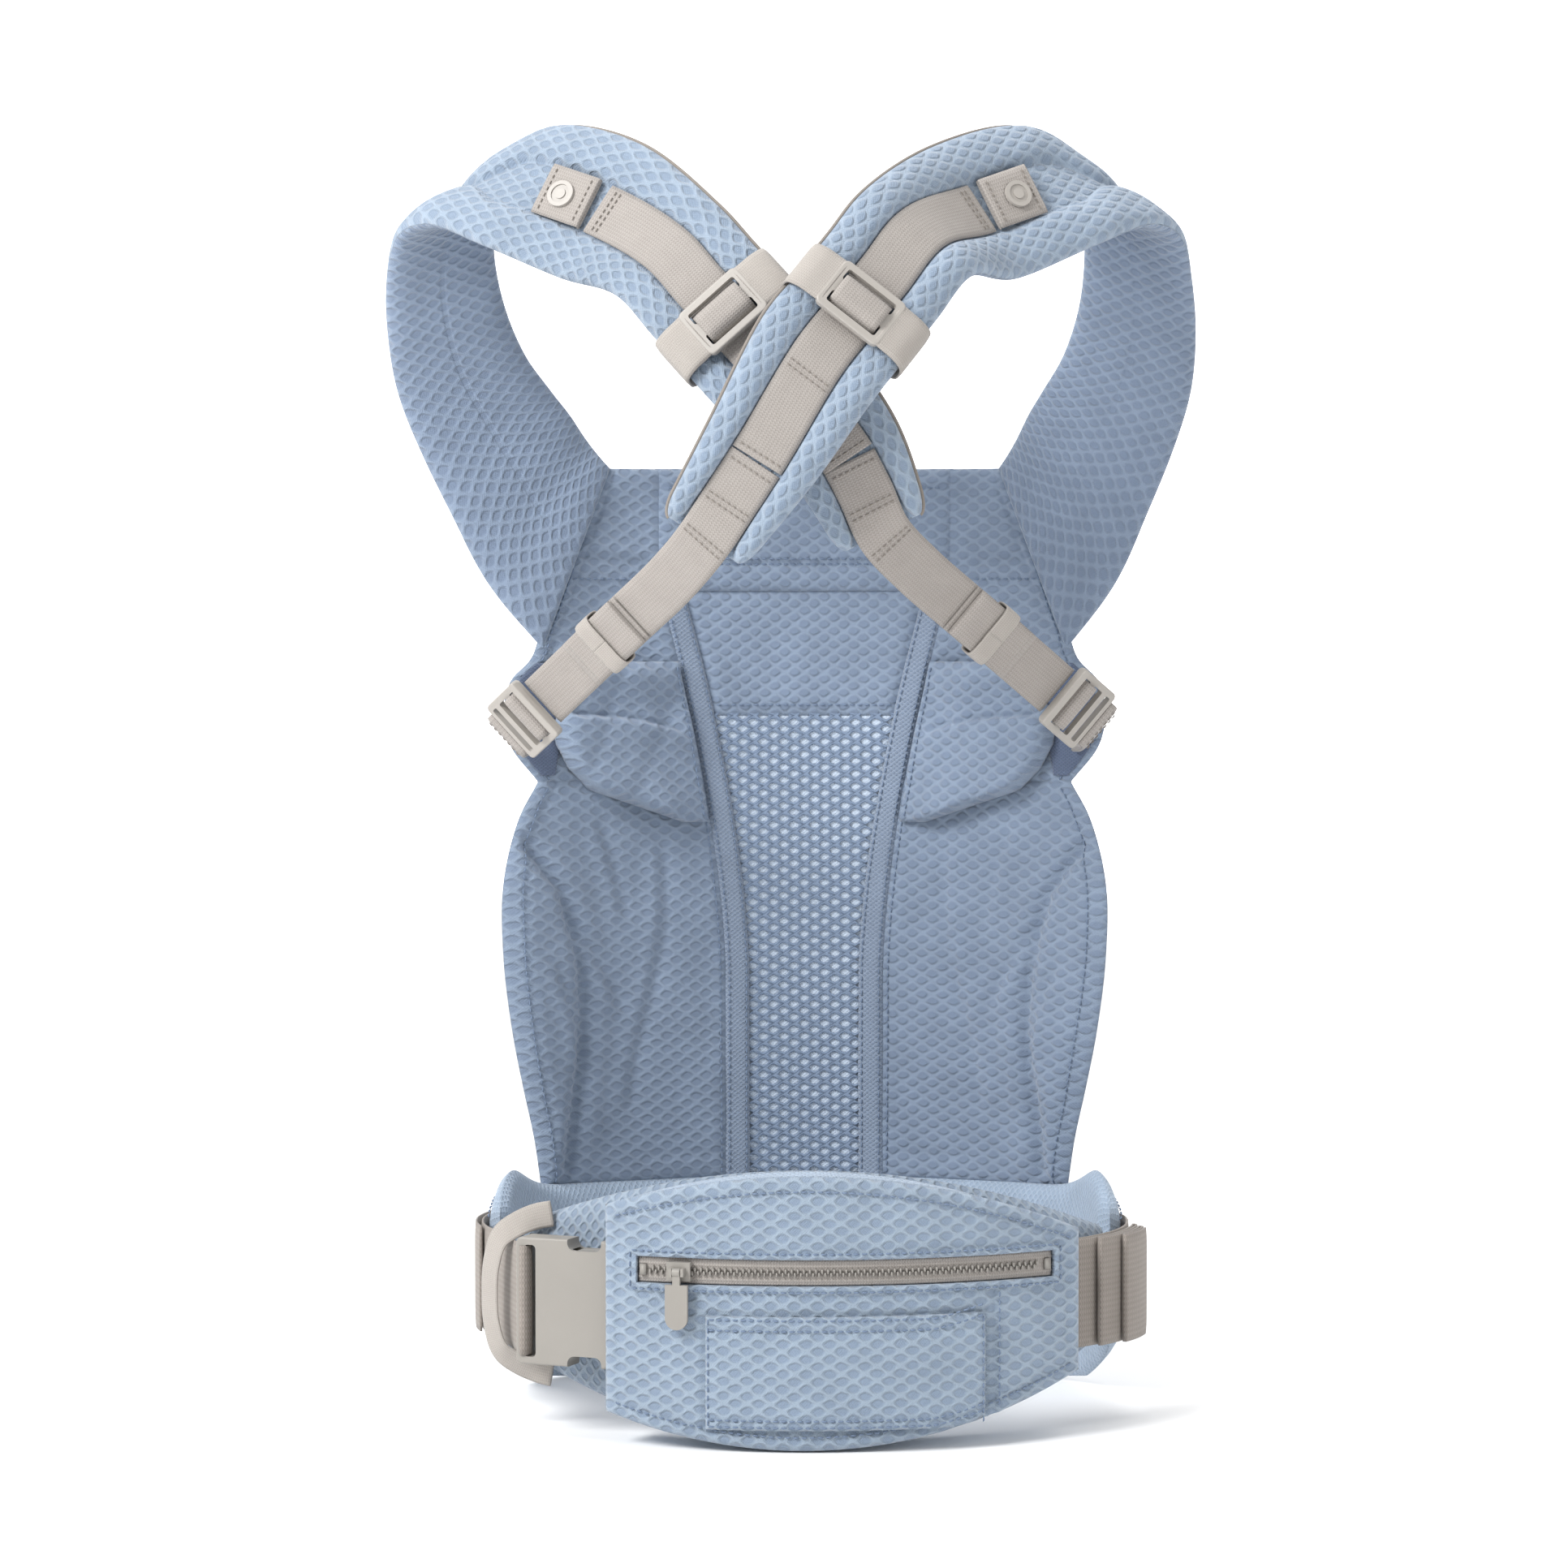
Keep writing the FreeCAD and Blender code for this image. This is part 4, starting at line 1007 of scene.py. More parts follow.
    def strip(
        self, name: str, path: Array, low: float, high: float, nodes: list[
            str
        ], count: int, body: str = "carrier"
    ) -> None:
        """Upright broad webbing along a plan path."""
        line = curve_through(np.column_stack([path, np.zeros(len(path))]), count)
        side = unit(np.cross(np.gradient(line, axis=0), [0, 0, 1.0]))
        z = np.linspace(low, high, 13)
        slim = 1 - 0.5 * np.abs(np.linspace(-1, 1, 13)) ** 8
        half = self.web_thick / 2
        top = line[:, None] + side[:, None] * (half * slim)[None, :, None]
        bottom = line[:, None] - side[:, None] * (half * slim)[None, :, None]
        for grid in (top, bottom):
            grid[..., 2] = z
        obj = self.shop.shell(name, top, bottom)
        self.shop.dress(obj, self.finish.broad_webbing, "webbing", body, nodes)

    def elastic(self) -> None:
        """Elastic sewn to the pad's edges, bowed over the webbing at the left."""
        half = [
            (-39.5, 103.0, 13.4),
            (-42, 101.5, 17.0),
            (-45.5, 98.0, 23.5),
            (-48.5, 92.0, 29.5),
            (-50.3, 80.0, 31.8),
        ]
        mirror = [(a, 2 * self.line - z, o) for a, z, o in reversed(half)]
        points = np.array(half + [(-50.8, self.line, 32.2)] + mirror)
        line = curve_through(OVAL.at(points[:, 0], points[:, 2], points[:, 1]), 90)
        out = OVAL.outward(np.interp(np.linspace(0, 1, 90), np.linspace(0, 1, len(points)), points[:, 0]))
        Ribbon(self.shop, line, unit(np.cross(np.gradient(line, axis=0), out)), out, 12.0, 1.1).make(
            "elastic_loop_weave", self.finish.elastic, "elastic", ["elastic_loop"]
        )


@dataclass(frozen=True)
class Buckle:
    """Where the waist buckle lies: its plane touches the near arc's offset."""

    angle: float = -23.0
    offset: float = 23.0
    line: float = 66.0

    @property
    def out(self) -> Array:
        """Away from the wearer."""
        return OVAL.outward(self.angle)

    @property
    def along(self) -> Array:
        """From the socket towards the plug's tail."""
        return np.cross([0, 0, 1.0], self.out)

    @property
    def middle(self) -> Array:
        """The place's own origin."""
        return OVAL.at(self.angle, self.offset, self.line)


# ---------------------------------------------------------------- webbing ribbons


@dataclass
class Ribbon:
    """Narrow webbing along a line, with the directions across it and out of it."""

    shop: Workshop
    line: Array
    across: Array
    out: Array
    width: float = 25.4
    thick: float = 1.6

    def make(
        self,
        name: str,
        material: bpy.types.Material,
        slot: str,
        nodes: Sequence[str] = (),
        body: str = "carrier",
    ) -> None:
        """Builds the ribbon.

        Args:
            name: The piece's name.
            material: Its finish.
            slot: Not used.
            nodes: CAD nodes that it stands for.
            body: The body that it rides on.
        """
        out = unit(self.out - self.across * np.sum(self.out * self.across, axis=1, keepdims=True))
        u = np.linspace(-1, 1, 11)
        slim = 1 - 0.45 * np.abs(u) ** 8
        grids = []
        for sign in (1, -1):
            height = sign * self.thick / 2 * slim
            grids.append(
                self.line[:, None]
                + self.across[:, None] * (u * self.width / 2)[None, :, None]
                + out[:, None] * height[None, :, None]
            )
        obj = self.shop.shell(name, *grids)
        self.shop.dress(obj, material, slot, body, nodes)

    def seam(self, at: Sequence[float], lift: float, inset: float = 1.6) -> list:
        """Rows of stitches across the ribbon at distances along it, in millimetres."""
        found, length = [], lengths(self.line)
        for distance in at:
            middle, across, out = (
                sample(grid, length, distance) for grid in (self.line, self.across, self.out)
            )
            across, out = unit(across), unit(out)
            span = np.linspace(-1, 1, 8)[:, None] * (self.width / 2 - inset)
            found += stitches(middle + across * span + out * lift, np.tile(out, (8, 1)), 2.0, 0.8, 0.3)
        return found


# ---------------------------------------------------------------- shoulder straps


@dataclass
class Strap:
    """One shoulder strap: padded tubes each side of a channel, with its rail, snap tab and webbing."""

    shop: Workshop
    finish: Finishes
    side: Side
    shift: float = -15.0
    over: tuple = (
        ((-133, 60, 362), (-101, 81, 451)),
        ((-155, 63, 393), (-107, 82, 463)),
        ((-171, 62, 425), (-114, 76, 475)),
        ((-186, 59, 456), (-124, 69, 488)),
        ((-197, 52, 485), (-136, 58, 505)),
        ((-201, 40, 513), (-145, 44, 528)),
        ((-200, 24, 538), (-149, 31, 553)),
        ((-193, 4, 557), (-147, 22, 577)),
        ((-177, -17, 561), (-137, 8, 595)),
        ((-151, -35, 550), (-114, -14, 606)),
        ((-113, -50, 533), (-74, -44, 594)),
    )
    runs: tuple = (
        (((-63, -65, 544), 31), ((-17, -87, 492), 31), ((17, -94, 451), 27), ((35, -90, 415), 22)),
        (((50, -82, 550), 31), ((5, -112, 492), 31), ((-20, -118, 450), 27), ((-46, -110, 411), 22)),
    )
    count: int = 190

    def __post_init__(self) -> None:
        """Lays out the strap's stations: middle, half-width vector and outward direction."""
        right = self.side is Side.RIGHT
        edges = []
        for k, (lower, upper) in enumerate(self.over):
            pair = np.array([lower, upper], float)
            if right:
                pair[:, 0] = self.shift * min(1.0, k / 6) - pair[:, 0]
            edges.append(pair)
        run = self.runs[int(right)]
        mids = np.array([p for p, _ in run], float)
        for k, (middle, half) in enumerate(run):
            a, b = (0, 1) if k < 2 else (k - 1, min(k + 1, 3))
            course = mids[b] - mids[a]
            down = unit(np.array([course[2], 0, -course[0]])) * -self.side.value
            edges.append(np.array([middle + down * half, middle - down * half]))
        stations = []
        for k, (lower, upper) in enumerate(edges):
            stations.append([*((lower + upper) / 2), *((lower - upper) / 2), k])
            if k == 11:
                nxt = edges[12]
                for t in (0.33, 0.67):
                    low, up = lower + (nxt[0] - lower) * t, upper + (nxt[1] - upper) * t
                    stations.append([*((low + up) / 2), *((low - up) / 2), k + t])
        tip = np.sin(np.linspace(0, np.pi / 2, 16))
        spread = np.concatenate([np.linspace(0, 0.975, self.count - 15), 0.975 + 0.025 * tip[1:]])
        table = curve_through(stations, self.count, spread)
        self.middle, half_vector, self.station = table[:, :3], table[:, 3:6], table[:, 6]
        self.half = np.linalg.norm(half_vector, axis=1)
        self.across = unit(half_vector)
        course = np.gradient(self.middle, axis=0)
        self.out = unit(np.cross(self.across, course)) * -self.side.value
        self.length = lengths(self.middle)

    def pick(self, station: Array) -> tuple[Array, Array, Array]:
        """Middle, across and out at stations."""
        at = np.atleast_1d(np.asarray(station, float))
        middle, across, out = (
            sample(grid, self.station, at) for grid in (self.middle, self.across, self.out)
        )
        return middle, unit(across), unit(out)

    def pad(self) -> None:
        """The padded cover: swollen by simulation, then stitched."""
        phi = np.linspace(0, np.pi, 15)
        flat = np.linspace(-1, 1, 9)[1:-1]
        channel = smooth(4.6, 6.4, self.station)
        gap = 1.6 + 11.3 * smooth(8.1, 9.0, self.station)
        taper = np.clip(self.length - (self.length[-1] - 11), 0, 11) / 11.02
        end = np.sqrt(1 - taper**2.2)
        start = smooth(-0.2, 0.5, self.station) * 0.6 + 0.4
        noise = Noise(31 + self.side.value)
        pressed = 1.1 * smooth(11.2, 11.8, self.station) * (self.side is Side.LEFT)
        top, bottom = [], []
        for k in range(self.count):
            w, e, c = self.half[k], end[k], channel[k]
            centre, radius = (w + gap[k]) / 2, (w - gap[k]) / 2
            x = centre + radius * (0.12 + 0.88 * e) * np.cos(phi)
            lobe = np.sin(phi) ** 0.75
            tube = np.maximum(
                (7.0 - pressed[k] + 0.8 * noise(self.length[k] / 21 + 9, phi * 0.9)) * lobe * e,
                1.9 * (x < gap[k] + 3),
            )
            crown = 6.6 * (1 - np.clip(x / w, 0, 1) ** 4) ** 0.5
            v_top = tube * c + crown * (1 - c)
            v_mid = 1.9 * c + 6.6 * (1 - c) * np.ones(7)
            under = -6.2 * (1 - np.clip(x / w, 0, 1) ** 5) ** 0.5 * (0.3 + 0.7 * e) * start[k]
            v_top *= start[k]
            v_mid *= start[k]
            xs = np.concatenate([x, flat[::-1] * gap[k], -x[::-1]])
            tops = np.concatenate([v_top, v_mid, v_top[::-1]])
            unders = np.concatenate([under, np.full(7, -5.9 * (0.3 + 0.7 * e) * start[k]), under[::-1]])
            tuck = 5.5 * max(0.0, 1 - k / 16) ** 2
            sewn = np.array([-self.side.value * tuck, 0.6 * tuck, -0.1 * tuck])
            base = self.middle[k] + sewn + self.across[k] * xs[:, None]
            top.append(base + self.out[k] * tops[:, None])
            bottom.append(base + self.out[k] * unders[:, None])
        top, bottom = np.array(top), np.array(bottom)
        m = top.shape[1]
        spread = np.sum((top - self.middle[:, None]) * self.across[:, None], axis=2)
        uv = np.stack(np.broadcast_arrays(self.length[:, None], spread), axis=-1)
        obj = self.shop.shell(f"shoulder_strap_{self.side.label}_cover", top, bottom, uv)
        pin = np.zeros((2, self.count, m))
        pin[0][(channel > 0.3)[:, None] & (np.abs(np.arange(m) - m // 2) <= 4)[None, :]] = 1
        pin[:, :, [0, -1]] = 1
        pin[:, [0, 1, -2, -1]] = 1
        puff(obj, pin.ravel(), 2.6, 3.0)
        refine(obj)
        self.shop.dress(
            obj,
            self.finish.strap,
            "air_mesh",
            stands_for=[f"shoulder_strap_{self.side.label}", f"shoulder_foam_{self.side.label}"],
        )
        # The underside faces take the darker strap finish: painted shade.
        obj.data.materials.append(self.finish.strap_underside_shade)
        under = (self.count - 1) * (m - 1) * 4
        index = np.zeros(len(obj.data.polygons), np.int32)
        index[under : 2 * under] = 1
        obj.data.polygons.foreach_set("material_index", index)
        shown = self.station > 8.4
        self.piping(top[shown, -1], self.middle[shown], self.out[shown])

    def piping(self, edge: Array, middle: Array, out: Array) -> None:
        """Narrow beige piping sewn along the strap's upper edge."""
        line = edge + unit(edge - middle) * 0.4
        ring = np.linspace(0, 2 * np.pi, 8, endpoint=False)
        course = unit(np.gradient(line, axis=0))
        side = unit(np.cross(course, out))
        rows = line[:, None] + 1.0 * (
            np.cos(ring)[None, :, None] * out[:, None] + np.sin(ring)[None, :, None] * side[:, None]
        )
        n = len(line)
        faces = [
            [i * 8 + j, i * 8 + (j + 1) % 8, (i + 1) * 8 + (j + 1) % 8, (i + 1) * 8 + j]
            for i in range(n - 1)
            for j in range(8)
        ]
        faces += [list(range(7, -1, -1)), list(range((n - 1) * 8, n * 8))]
        obj = self.shop.solids(f"strap_piping_{self.side.label}", [(rows.reshape(-1, 3), faces)])
        self.shop.dress(obj, self.finish.thread_beige_seam_shade, "webbing")

    def rail(self) -> None:
        """Rail webbing in the channel, with its bar tacks, and the snap tab folded back over its top."""
        tag = self.side.label
        stations = np.linspace(9.97, 13.08, 110)
        middle, across, out = self.pick(stations)
        ribbon = Ribbon(self.shop, middle + out * 3.2, across, out)
        ribbon.make(f"rail_webbing_{tag}_weave", self.finish.webbing, "webbing", [f"rail_webbing_{tag}"])
        total = lengths(ribbon.line)[-1]
        rows = ribbon.seam([4, 6.5, total - 46, total - 43, total - 3], 0.9)
        self.shop.sew(f"rail_stitches_{tag}", rows, self.finish.thread_beige_seam_shade, "webbing")
        low, _, _ = self.pick(np.array([9.86]))
        high, _, _ = self.pick(np.array([9.22]))
        _, across, out = self.pick(np.array([9.86]))
        course = unit(high - low)[0]
        across = unit(across[0] - course * across[0].dot(course))
        out = np.cross(course, across)
        out *= math.copysign(1, out.dot(self.pick(np.array([9.86]))[2][0]))
        w = np.array([0.2, -0.9, -0.5, 1.5, 6.0, 14.0, 22.0, 25.4])
        v = np.array([3.4, 4.2, 5.4, 5.7, 5.6, 5.6, 5.6, 5.5])
        line = curve_through(low + course * w[:, None] + out * v[:, None], 46)
        frames = [np.tile(a, (46, 1)) for a in (across, out)]
        tab = Ribbon(self.shop, line, *frames, 25.4, 2.0)
        tab.make(
            f"snap_tab_{tag}_weave",
            self.finish.webbing,
            "webbing",
            [f"snap_tab_{tag}"],
            f"snap_tab_{tag}_body",
        )
        self.shop.sew(
            f"snap_tab_stitches_{tag}",
            tab.seam([5.5, 25.5], 1.05),
            self.finish.thread_beige_seam_shade,
            "webbing",
            f"snap_tab_{tag}_body",
        )

    def slider(self) -> None:
        """The webbing's hump over the slider's bar and the elastic band round the pad."""
        tag, body = self.side.label, f"rail_slider_{self.side.label}_body"
        share = 0.6 if self.side is Side.LEFT else 0.62
        middle, across, out = (g[0] for g in self.pick(np.array([11 + share])))
        along = np.cross(across, out)
        low = 7.7
        w = np.array([-10.5, -8.0, -6.6, -4.4, 0, 4.4, 6.6, 8.0, 10.5])
        v = np.array([4.6, 6.2, low + 2.6, low + 4.6, low + 5.0, low + 4.6, low + 2.6, 6.2, 4.6])
        line = curve_through(middle + along * w[:, None] + out * v[:, None], 50)
        hump = Ribbon(self.shop, line, np.tile(across, (50, 1)), np.tile(out, (50, 1)), 25.2, 1.4)
        course = unit(np.gradient(line, axis=0))
        hump.out = np.cross(np.tile(across, (50, 1)), course) * math.copysign(
            1, np.cross(across, course[25]).dot(out)
        )
        hump.make(f"slider_hump_{tag}", self.finish.webbing, "webbing", [f"slider_loop_{tag}"], body)
        w = 31.0 + 1.9
        top, low = 8.4 + 0.8, -8.9
        corner = [
            (15.0, top + 1.4),
            (19.0, top + 0.9),
            (w - 6, top),
            (w - 1.0, top - 3.2),
            (w, 0),
            (w - 0.6, low + 4.0),
            (w - 6, low),
        ]
        ring = corner + [(0, low - 0.1)] + [(-u, v) for u, v in reversed(corner)]
        line = curve_through([middle + across * u + out * v for u, v in ring], 120)
        band = Ribbon(
            self.shop, line, np.tile(along, (120, 1)), out=np.zeros((120, 3)), width=24.0, thick=1.5
        )
        course = unit(np.gradient(line, axis=0))
        outward = np.cross(course, band.across)
        band.out = outward * math.copysign(1, outward[10].dot(line[10] - middle))
        band.make(f"slider_band_{tag}_weave", self.finish.elastic, "elastic", [f"slider_band_{tag}"], body)

    def adjuster(self, lock: "LadderLock") -> None:
        """The webbing from the pad's end to the opposite ladder lock, its folded tail and its keeper."""
        tag = self.side.label
        last, across, out = (g[0] for g in self.pick(np.array([14.0])))
        run_across, run_out = lock.directions(last, out)
        start = last + (lock.place - last) * 0.13 + np.array([0, -3, -3])
        course = unit(lock.place - start)
        ends, _, ends_out = self.pick(np.array([13.1, 13.5, 14.0]))
        keys = list(ends + ends_out * 3.2)
        length = float(np.linalg.norm(lock.place - start))
        keys += [start + course * length * t for t in (0.05, 0.35, 0.68)] + [lock.place - course * 12.5]
        loop = [(-10.0, 0.4), (-6.5, 3.0), (-4.6, 6.0), (-2.0, 6.7), (0.6, 5.6), (2.4, 2.4), (4.0, -0.3)]
        line = curve_through(keys, 120)
        blend = smooth(0.12, 0.34, np.linspace(0, 1, 120))[:, None]
        sign = math.copysign(1, across.dot(run_across))
        turning = unit(across * (1 - blend) + run_across * sign * blend)
        facing = unit(out * (1 - blend) + run_out * blend)
        ribbon = Ribbon(self.shop, line, turning, facing)
        ribbon.make(
            f"adjuster_webbing_{tag}_weave", self.finish.webbing, "webbing", [f"adjuster_webbing_{tag}"]
        )
        rows = ribbon.seam([4, 22, 25, 41, 44], 0.95)
        self.shop.sew(f"adjuster_stitches_{tag}", rows, self.finish.thread_beige_seam_shade, "webbing")
        body = f"ladder_lock_{self.side.other.label}_body"
        hump = curve_through([lock.place + course * w + run_out * v for w, v in loop], 50)
        frames = np.cross(np.tile(run_across, (50, 1)), unit(np.gradient(hump, axis=0)))
        frames *= math.copysign(1, frames[25].dot(run_out))
        piece = Ribbon(self.shop, hump, np.tile(run_across, (50, 1)), frames, 25.0, 1.4)
        piece.make(f"lock_hump_{self.side.other.label}", self.finish.webbing, "webbing", body=body)
        self.tail(start, course, run_across, run_out, length)

    def tail(self, start: Array, course: Array, across: Array, out: Array, length: float) -> None:
        """The webbing's end folded into three layers, held by an elastic keeper."""
        tag, begin, long = self.side.label, 0.30 * length, 44.0
        route = []
        for k in range(3):
            level = 0.8 + 0.3 + 0.8 + k * 1.75
            span = [begin + 2 * k, begin + long - 3 * k]
            span = span if k % 2 == 0 else span[::-1]
            for t in (0.0, 0.25, 0.75, 1.0):
                w = span[0] + (span[1] - span[0]) * t
                route.append(start + course * w + out * (level + 0.25 * math.sin(math.pi * t)))
        line = curve_through(route, 150)
        frames = [np.tile(a, (150, 1)) for a in (across, out)]
        tail = Ribbon(self.shop, line, *frames, 25.2, 1.3)
        tail.make(f"webbing_tail_{tag}_weave", self.finish.webbing, "webbing", [f"webbing_tail_{tag}"])
        middle = start + course * (begin + long / 2)
        low, high, half = -2.0, 0.8 + 0.3 + 4.8 + 1.3, 12.7 + 1.4
        corner = [
            (half - 3, high),
            (half - 0.4, high - 1.2),
            (half, (low + high) / 2),
            (half - 0.4, low + 1.0),
            (half - 3, low),
        ]
        ring = [(0, high + 0.25)] + corner + [(0, low)] + [
            (-u, v) for u, v in reversed(corner)
        ] + [(0, high + 0.25)]
        line = curve_through([middle + across * u + out * v for u, v in ring], 80)
        wide = np.tile(course, (80, 1))
        facing = np.cross(unit(np.gradient(line, axis=0)), wide)
        facing *= math.copysign(1, facing[0].dot(out))
        keeper = Ribbon(self.shop, line, wide, facing, 10.0, 1.1)
        keeper.make(
            f"webbing_keeper_{tag}_weave",
            self.finish.elastic,
            "elastic",
            [f"webbing_keeper_{tag}"],
            f"keeper_{tag}_body",
        )


@dataclass
class LadderLock:
    """Where a ladder lock lies, and its sewn tab."""

    shop: Workshop
    finish: Finishes
    side: Side

    @property
    def place(self) -> Array:
        """The lock's own origin."""
        return np.array([-130.0, -12, 331] if self.side is Side.LEFT else [126.0, -12, 336])

    def directions(self, last: Array, out: Array) -> tuple[Array, Array]:
        """Sets and returns the directions across and out of the webbing's straight run.

        Args:
            last: The place of the pad's end, where the run begins.
            out: Roughly the direction away from the wearer.

        Returns:
            Unit vectors across the run and out of it.
        """
        start = last + (self.place - last) * 0.13 + np.array([0, -3, -3])
        course = unit(self.place - start)
        self.course = course
        self.across = unit(np.array([-course[2], 0, course[0]]))
        self.out = np.cross(course, self.across)
        if self.out.dot(out) < 0:
            self.across, self.out = -self.across, -self.out
        return self.across, self.out

    def tab(self) -> None:
        """Webbing tab from the lock's end bar to the panel's wing, doubled and box-stitched."""
        tag = self.side.label
        start = self.place + self.course * 14.6 + self.out * 3.1
        root = np.array([math.copysign(138, self.place[0]), 52.6, 322.0])
        bend = start + self.course * 7 + np.array([0, 6.0, 0])
        line = curve_through([start, start + self.course * 3, bend * 0.6 + root * 0.4, root], 46)
        out = np.cross(unit(np.gradient(line, axis=0)), self.across)
        out *= math.copysign(1, out[2].dot(self.out))
        ribbon = Ribbon(self.shop, line, np.tile(self.across, (46, 1)), out, 25.0, 2.4)
        ribbon.make(f"lock_tab_{tag}_weave", self.finish.webbing, "webbing", [f"lock_tab_{tag}"])
        self.shop.sew(
            f"lock_tab_stitches_{tag}",
            ribbon.seam([4.0, 20.0, 23.0], 1.35),
            self.finish.thread_beige_seam_shade,
            "webbing",
        )


# ---------------------------------------------------------------- panel


@dataclass
class Panel:
    """The body panel: mesh window, bindings, side panels, wings, flaps, neck and head pieces."""

    shop: Workshop
    finish: Finishes
    depth: float = 107.0
    bottom: float = 101.0
    mesh_top: float = 329.0
    neck_top: float = 390.0
    top: float = 451.0
    binding: float = 13.0
    side_edge: tuple = (
        (101, 129), (123, 132), (148, 137), (176, 142), (212, 146), (248, 146), (279, 139), (297, 130)
    )
    wing_edge: tuple = ((297, 130), (315, 143), (331, 146), (346, 143), (360, 131), (451, 97))

    def at(self, x: Array, z: Array, offset: Array) -> Array:
        """Points on the panel at sideways places, heights and offsets away from the wearer."""
        x, z, offset = np.broadcast_arrays(*[np.asarray(a, float) for a in (x, z, offset)])
        curve = 0.0030 - 0.0000040 * np.maximum(0, z - 250)
        normal = unit(np.stack([2 * curve * x, np.ones_like(x), np.zeros_like(x)], axis=-1))
        return np.stack([x, self.depth - curve * x**2, z], axis=-1) + normal * offset[..., None]

    def facing(self, x: Array, z: Array) -> Array:
        """Unit normals towards the wearer's side."""
        return unit(self.at(x, z, -1.0) - self.at(x, z, 0.0))

    @staticmethod
    def seam(z: Array) -> Array:
        """Half width of the mesh window at a height."""
        return 27 + 17.5 * (np.maximum(0, np.asarray(z, float) - 200) / 129) ** 1.6

    def outer(self, z: Array, edge: tuple) -> Array:
        """Half width of an edge at a height, smoothly through its points."""
        points = curve_through([(w, h, 0) for h, w in edge], 200)
        return np.interp(z, points[:, 1], points[:, 0])

    def piece(
        self,
        name: str,
        x: Array,
        z: Array,
        near: Array,
        far: Array,
        material: bpy.types.Material,
        nodes: Sequence[str],
        soft: bool = True,
        slot: str = "air_mesh",
    ) -> tuple[bpy.types.Object, Array]:
        """A padded or plain piece between a near and a far offset on the panel.

        Args:
            name: The piece's name.
            x: Sideways places, rows along the piece's width.
            z: Heights, of the same shape.
            near: Offsets of the side that faces the wearer.
            far: Offsets of the other side.
            material: Its finish.
            nodes: CAD nodes that it stands for.
            slot: Not used.

        Returns:
            The object and its near side's points.
        """
        face, back = self.at(x, z, near), self.at(x, z, far)
        obj = self.shop.shell(name, face, back, np.stack([z, x * 1.03], axis=-1))
        self.shop.dress(obj, material, slot, stands_for=nodes)
        return obj, face

    def stitched(
        self, name: str, face: Array, x: Array, z: Array, places: Sequence[tuple], slot: str = "air_mesh"
    ) -> None:
        """Sews rows of stitches on a piece's near side, at the given places of its grid."""
        rows = [stitch for at in places for stitch in stitches(face[at], self.facing(x[at], z[at]))]
        self.shop.sew(name, rows, self.finish.thread_blue_seam_shade, slot)

    def window(self) -> None:
        """Open mesh: staggered threads with an oval hole in each cell."""
        pitch_x, pitch_z, hole_x, hole_z = 10.2, 6.4, 2.75, 1.8
        rows = int((self.mesh_top - self.bottom + 6) / (pitch_z / 2))
        solids = []
        count = 8
        ring = np.linspace(0, 2 * np.pi, count, endpoint=False)
        circle = np.stack([np.cos(ring), np.sin(ring)], axis=1)
        rhombus = circle / (np.abs(circle[:, :1]) + np.abs(circle[:, 1:]))
        diamond = np.sign(circle) * np.abs(circle) ** 1.3
        for r in range(rows + 1):
            z = self.bottom - 3 + r * pitch_z / 2
            limit = float(self.seam(z)) + 1.5
            start = -math.ceil(limit / pitch_x) * pitch_x + (pitch_x / 2 if r % 2 else 0)
            for x in np.arange(start, limit + 0.1, pitch_x):
                if abs(x) > limit:
                    continue
                rim = np.array([x, z]) + rhombus * [pitch_x / 2, pitch_z / 2]
                hole = np.array([x, z]) + diamond * [hole_x, hole_z]
                xs, zs = np.concatenate([rim[:, 0], hole[:, 0]] * 2), np.concatenate(
                    [rim[:, 1], hole[:, 1]] * 2
                )
                xs = np.clip(xs, -limit, limit)
                zs = np.clip(zs, self.bottom - 0.5, self.mesh_top + 1)
                off = np.repeat([-1.3, -0.9, -0.1, -0.1], count)
                points = self.at(xs, zs, off)
                faces = []
                for k in range(count):
                    n = (k + 1) % count
                    faces.append([k, n, count + n, count + k])
                    faces.append([2 * count + n, 2 * count + k, 3 * count + k, 3 * count + n])
                    faces.append([count + k, count + n, 3 * count + n, 3 * count + k])
                    faces.append([n, k, 2 * count + k, 2 * count + n])
                solids.append((points, faces))
        obj = self.shop.solids("centre_mesh_threads", solids)
        self.shop.dress(obj, self.finish.open_mesh, "open_mesh", stands_for=["centre_mesh"])
        # A pale sheet just behind the threads stands for no part: it paints the light seen through the holes,
        # and its outer face paints lighter holes as light through them.
        z, t = np.meshgrid(
            np.linspace(self.bottom - 2, self.mesh_top + 2, 60), np.linspace(-1, 1, 20), indexing="ij"
        )
        x = (self.seam(z) + 1.5) * t
        painted_light_sheet, _ = self.piece(
            "centre_mesh_painted_light_sheet", x, z, 0.1 + 0 * z, 0.9 + 0 * z, self.finish.mesh_painted_light_sheet, [], False
        )
        painted_light_sheet.data.materials.append(self.finish.mesh_outside_painted_light)
        for face in painted_light_sheet.data.polygons:
            face.material_index = int(min(face.vertices) >= z.size)

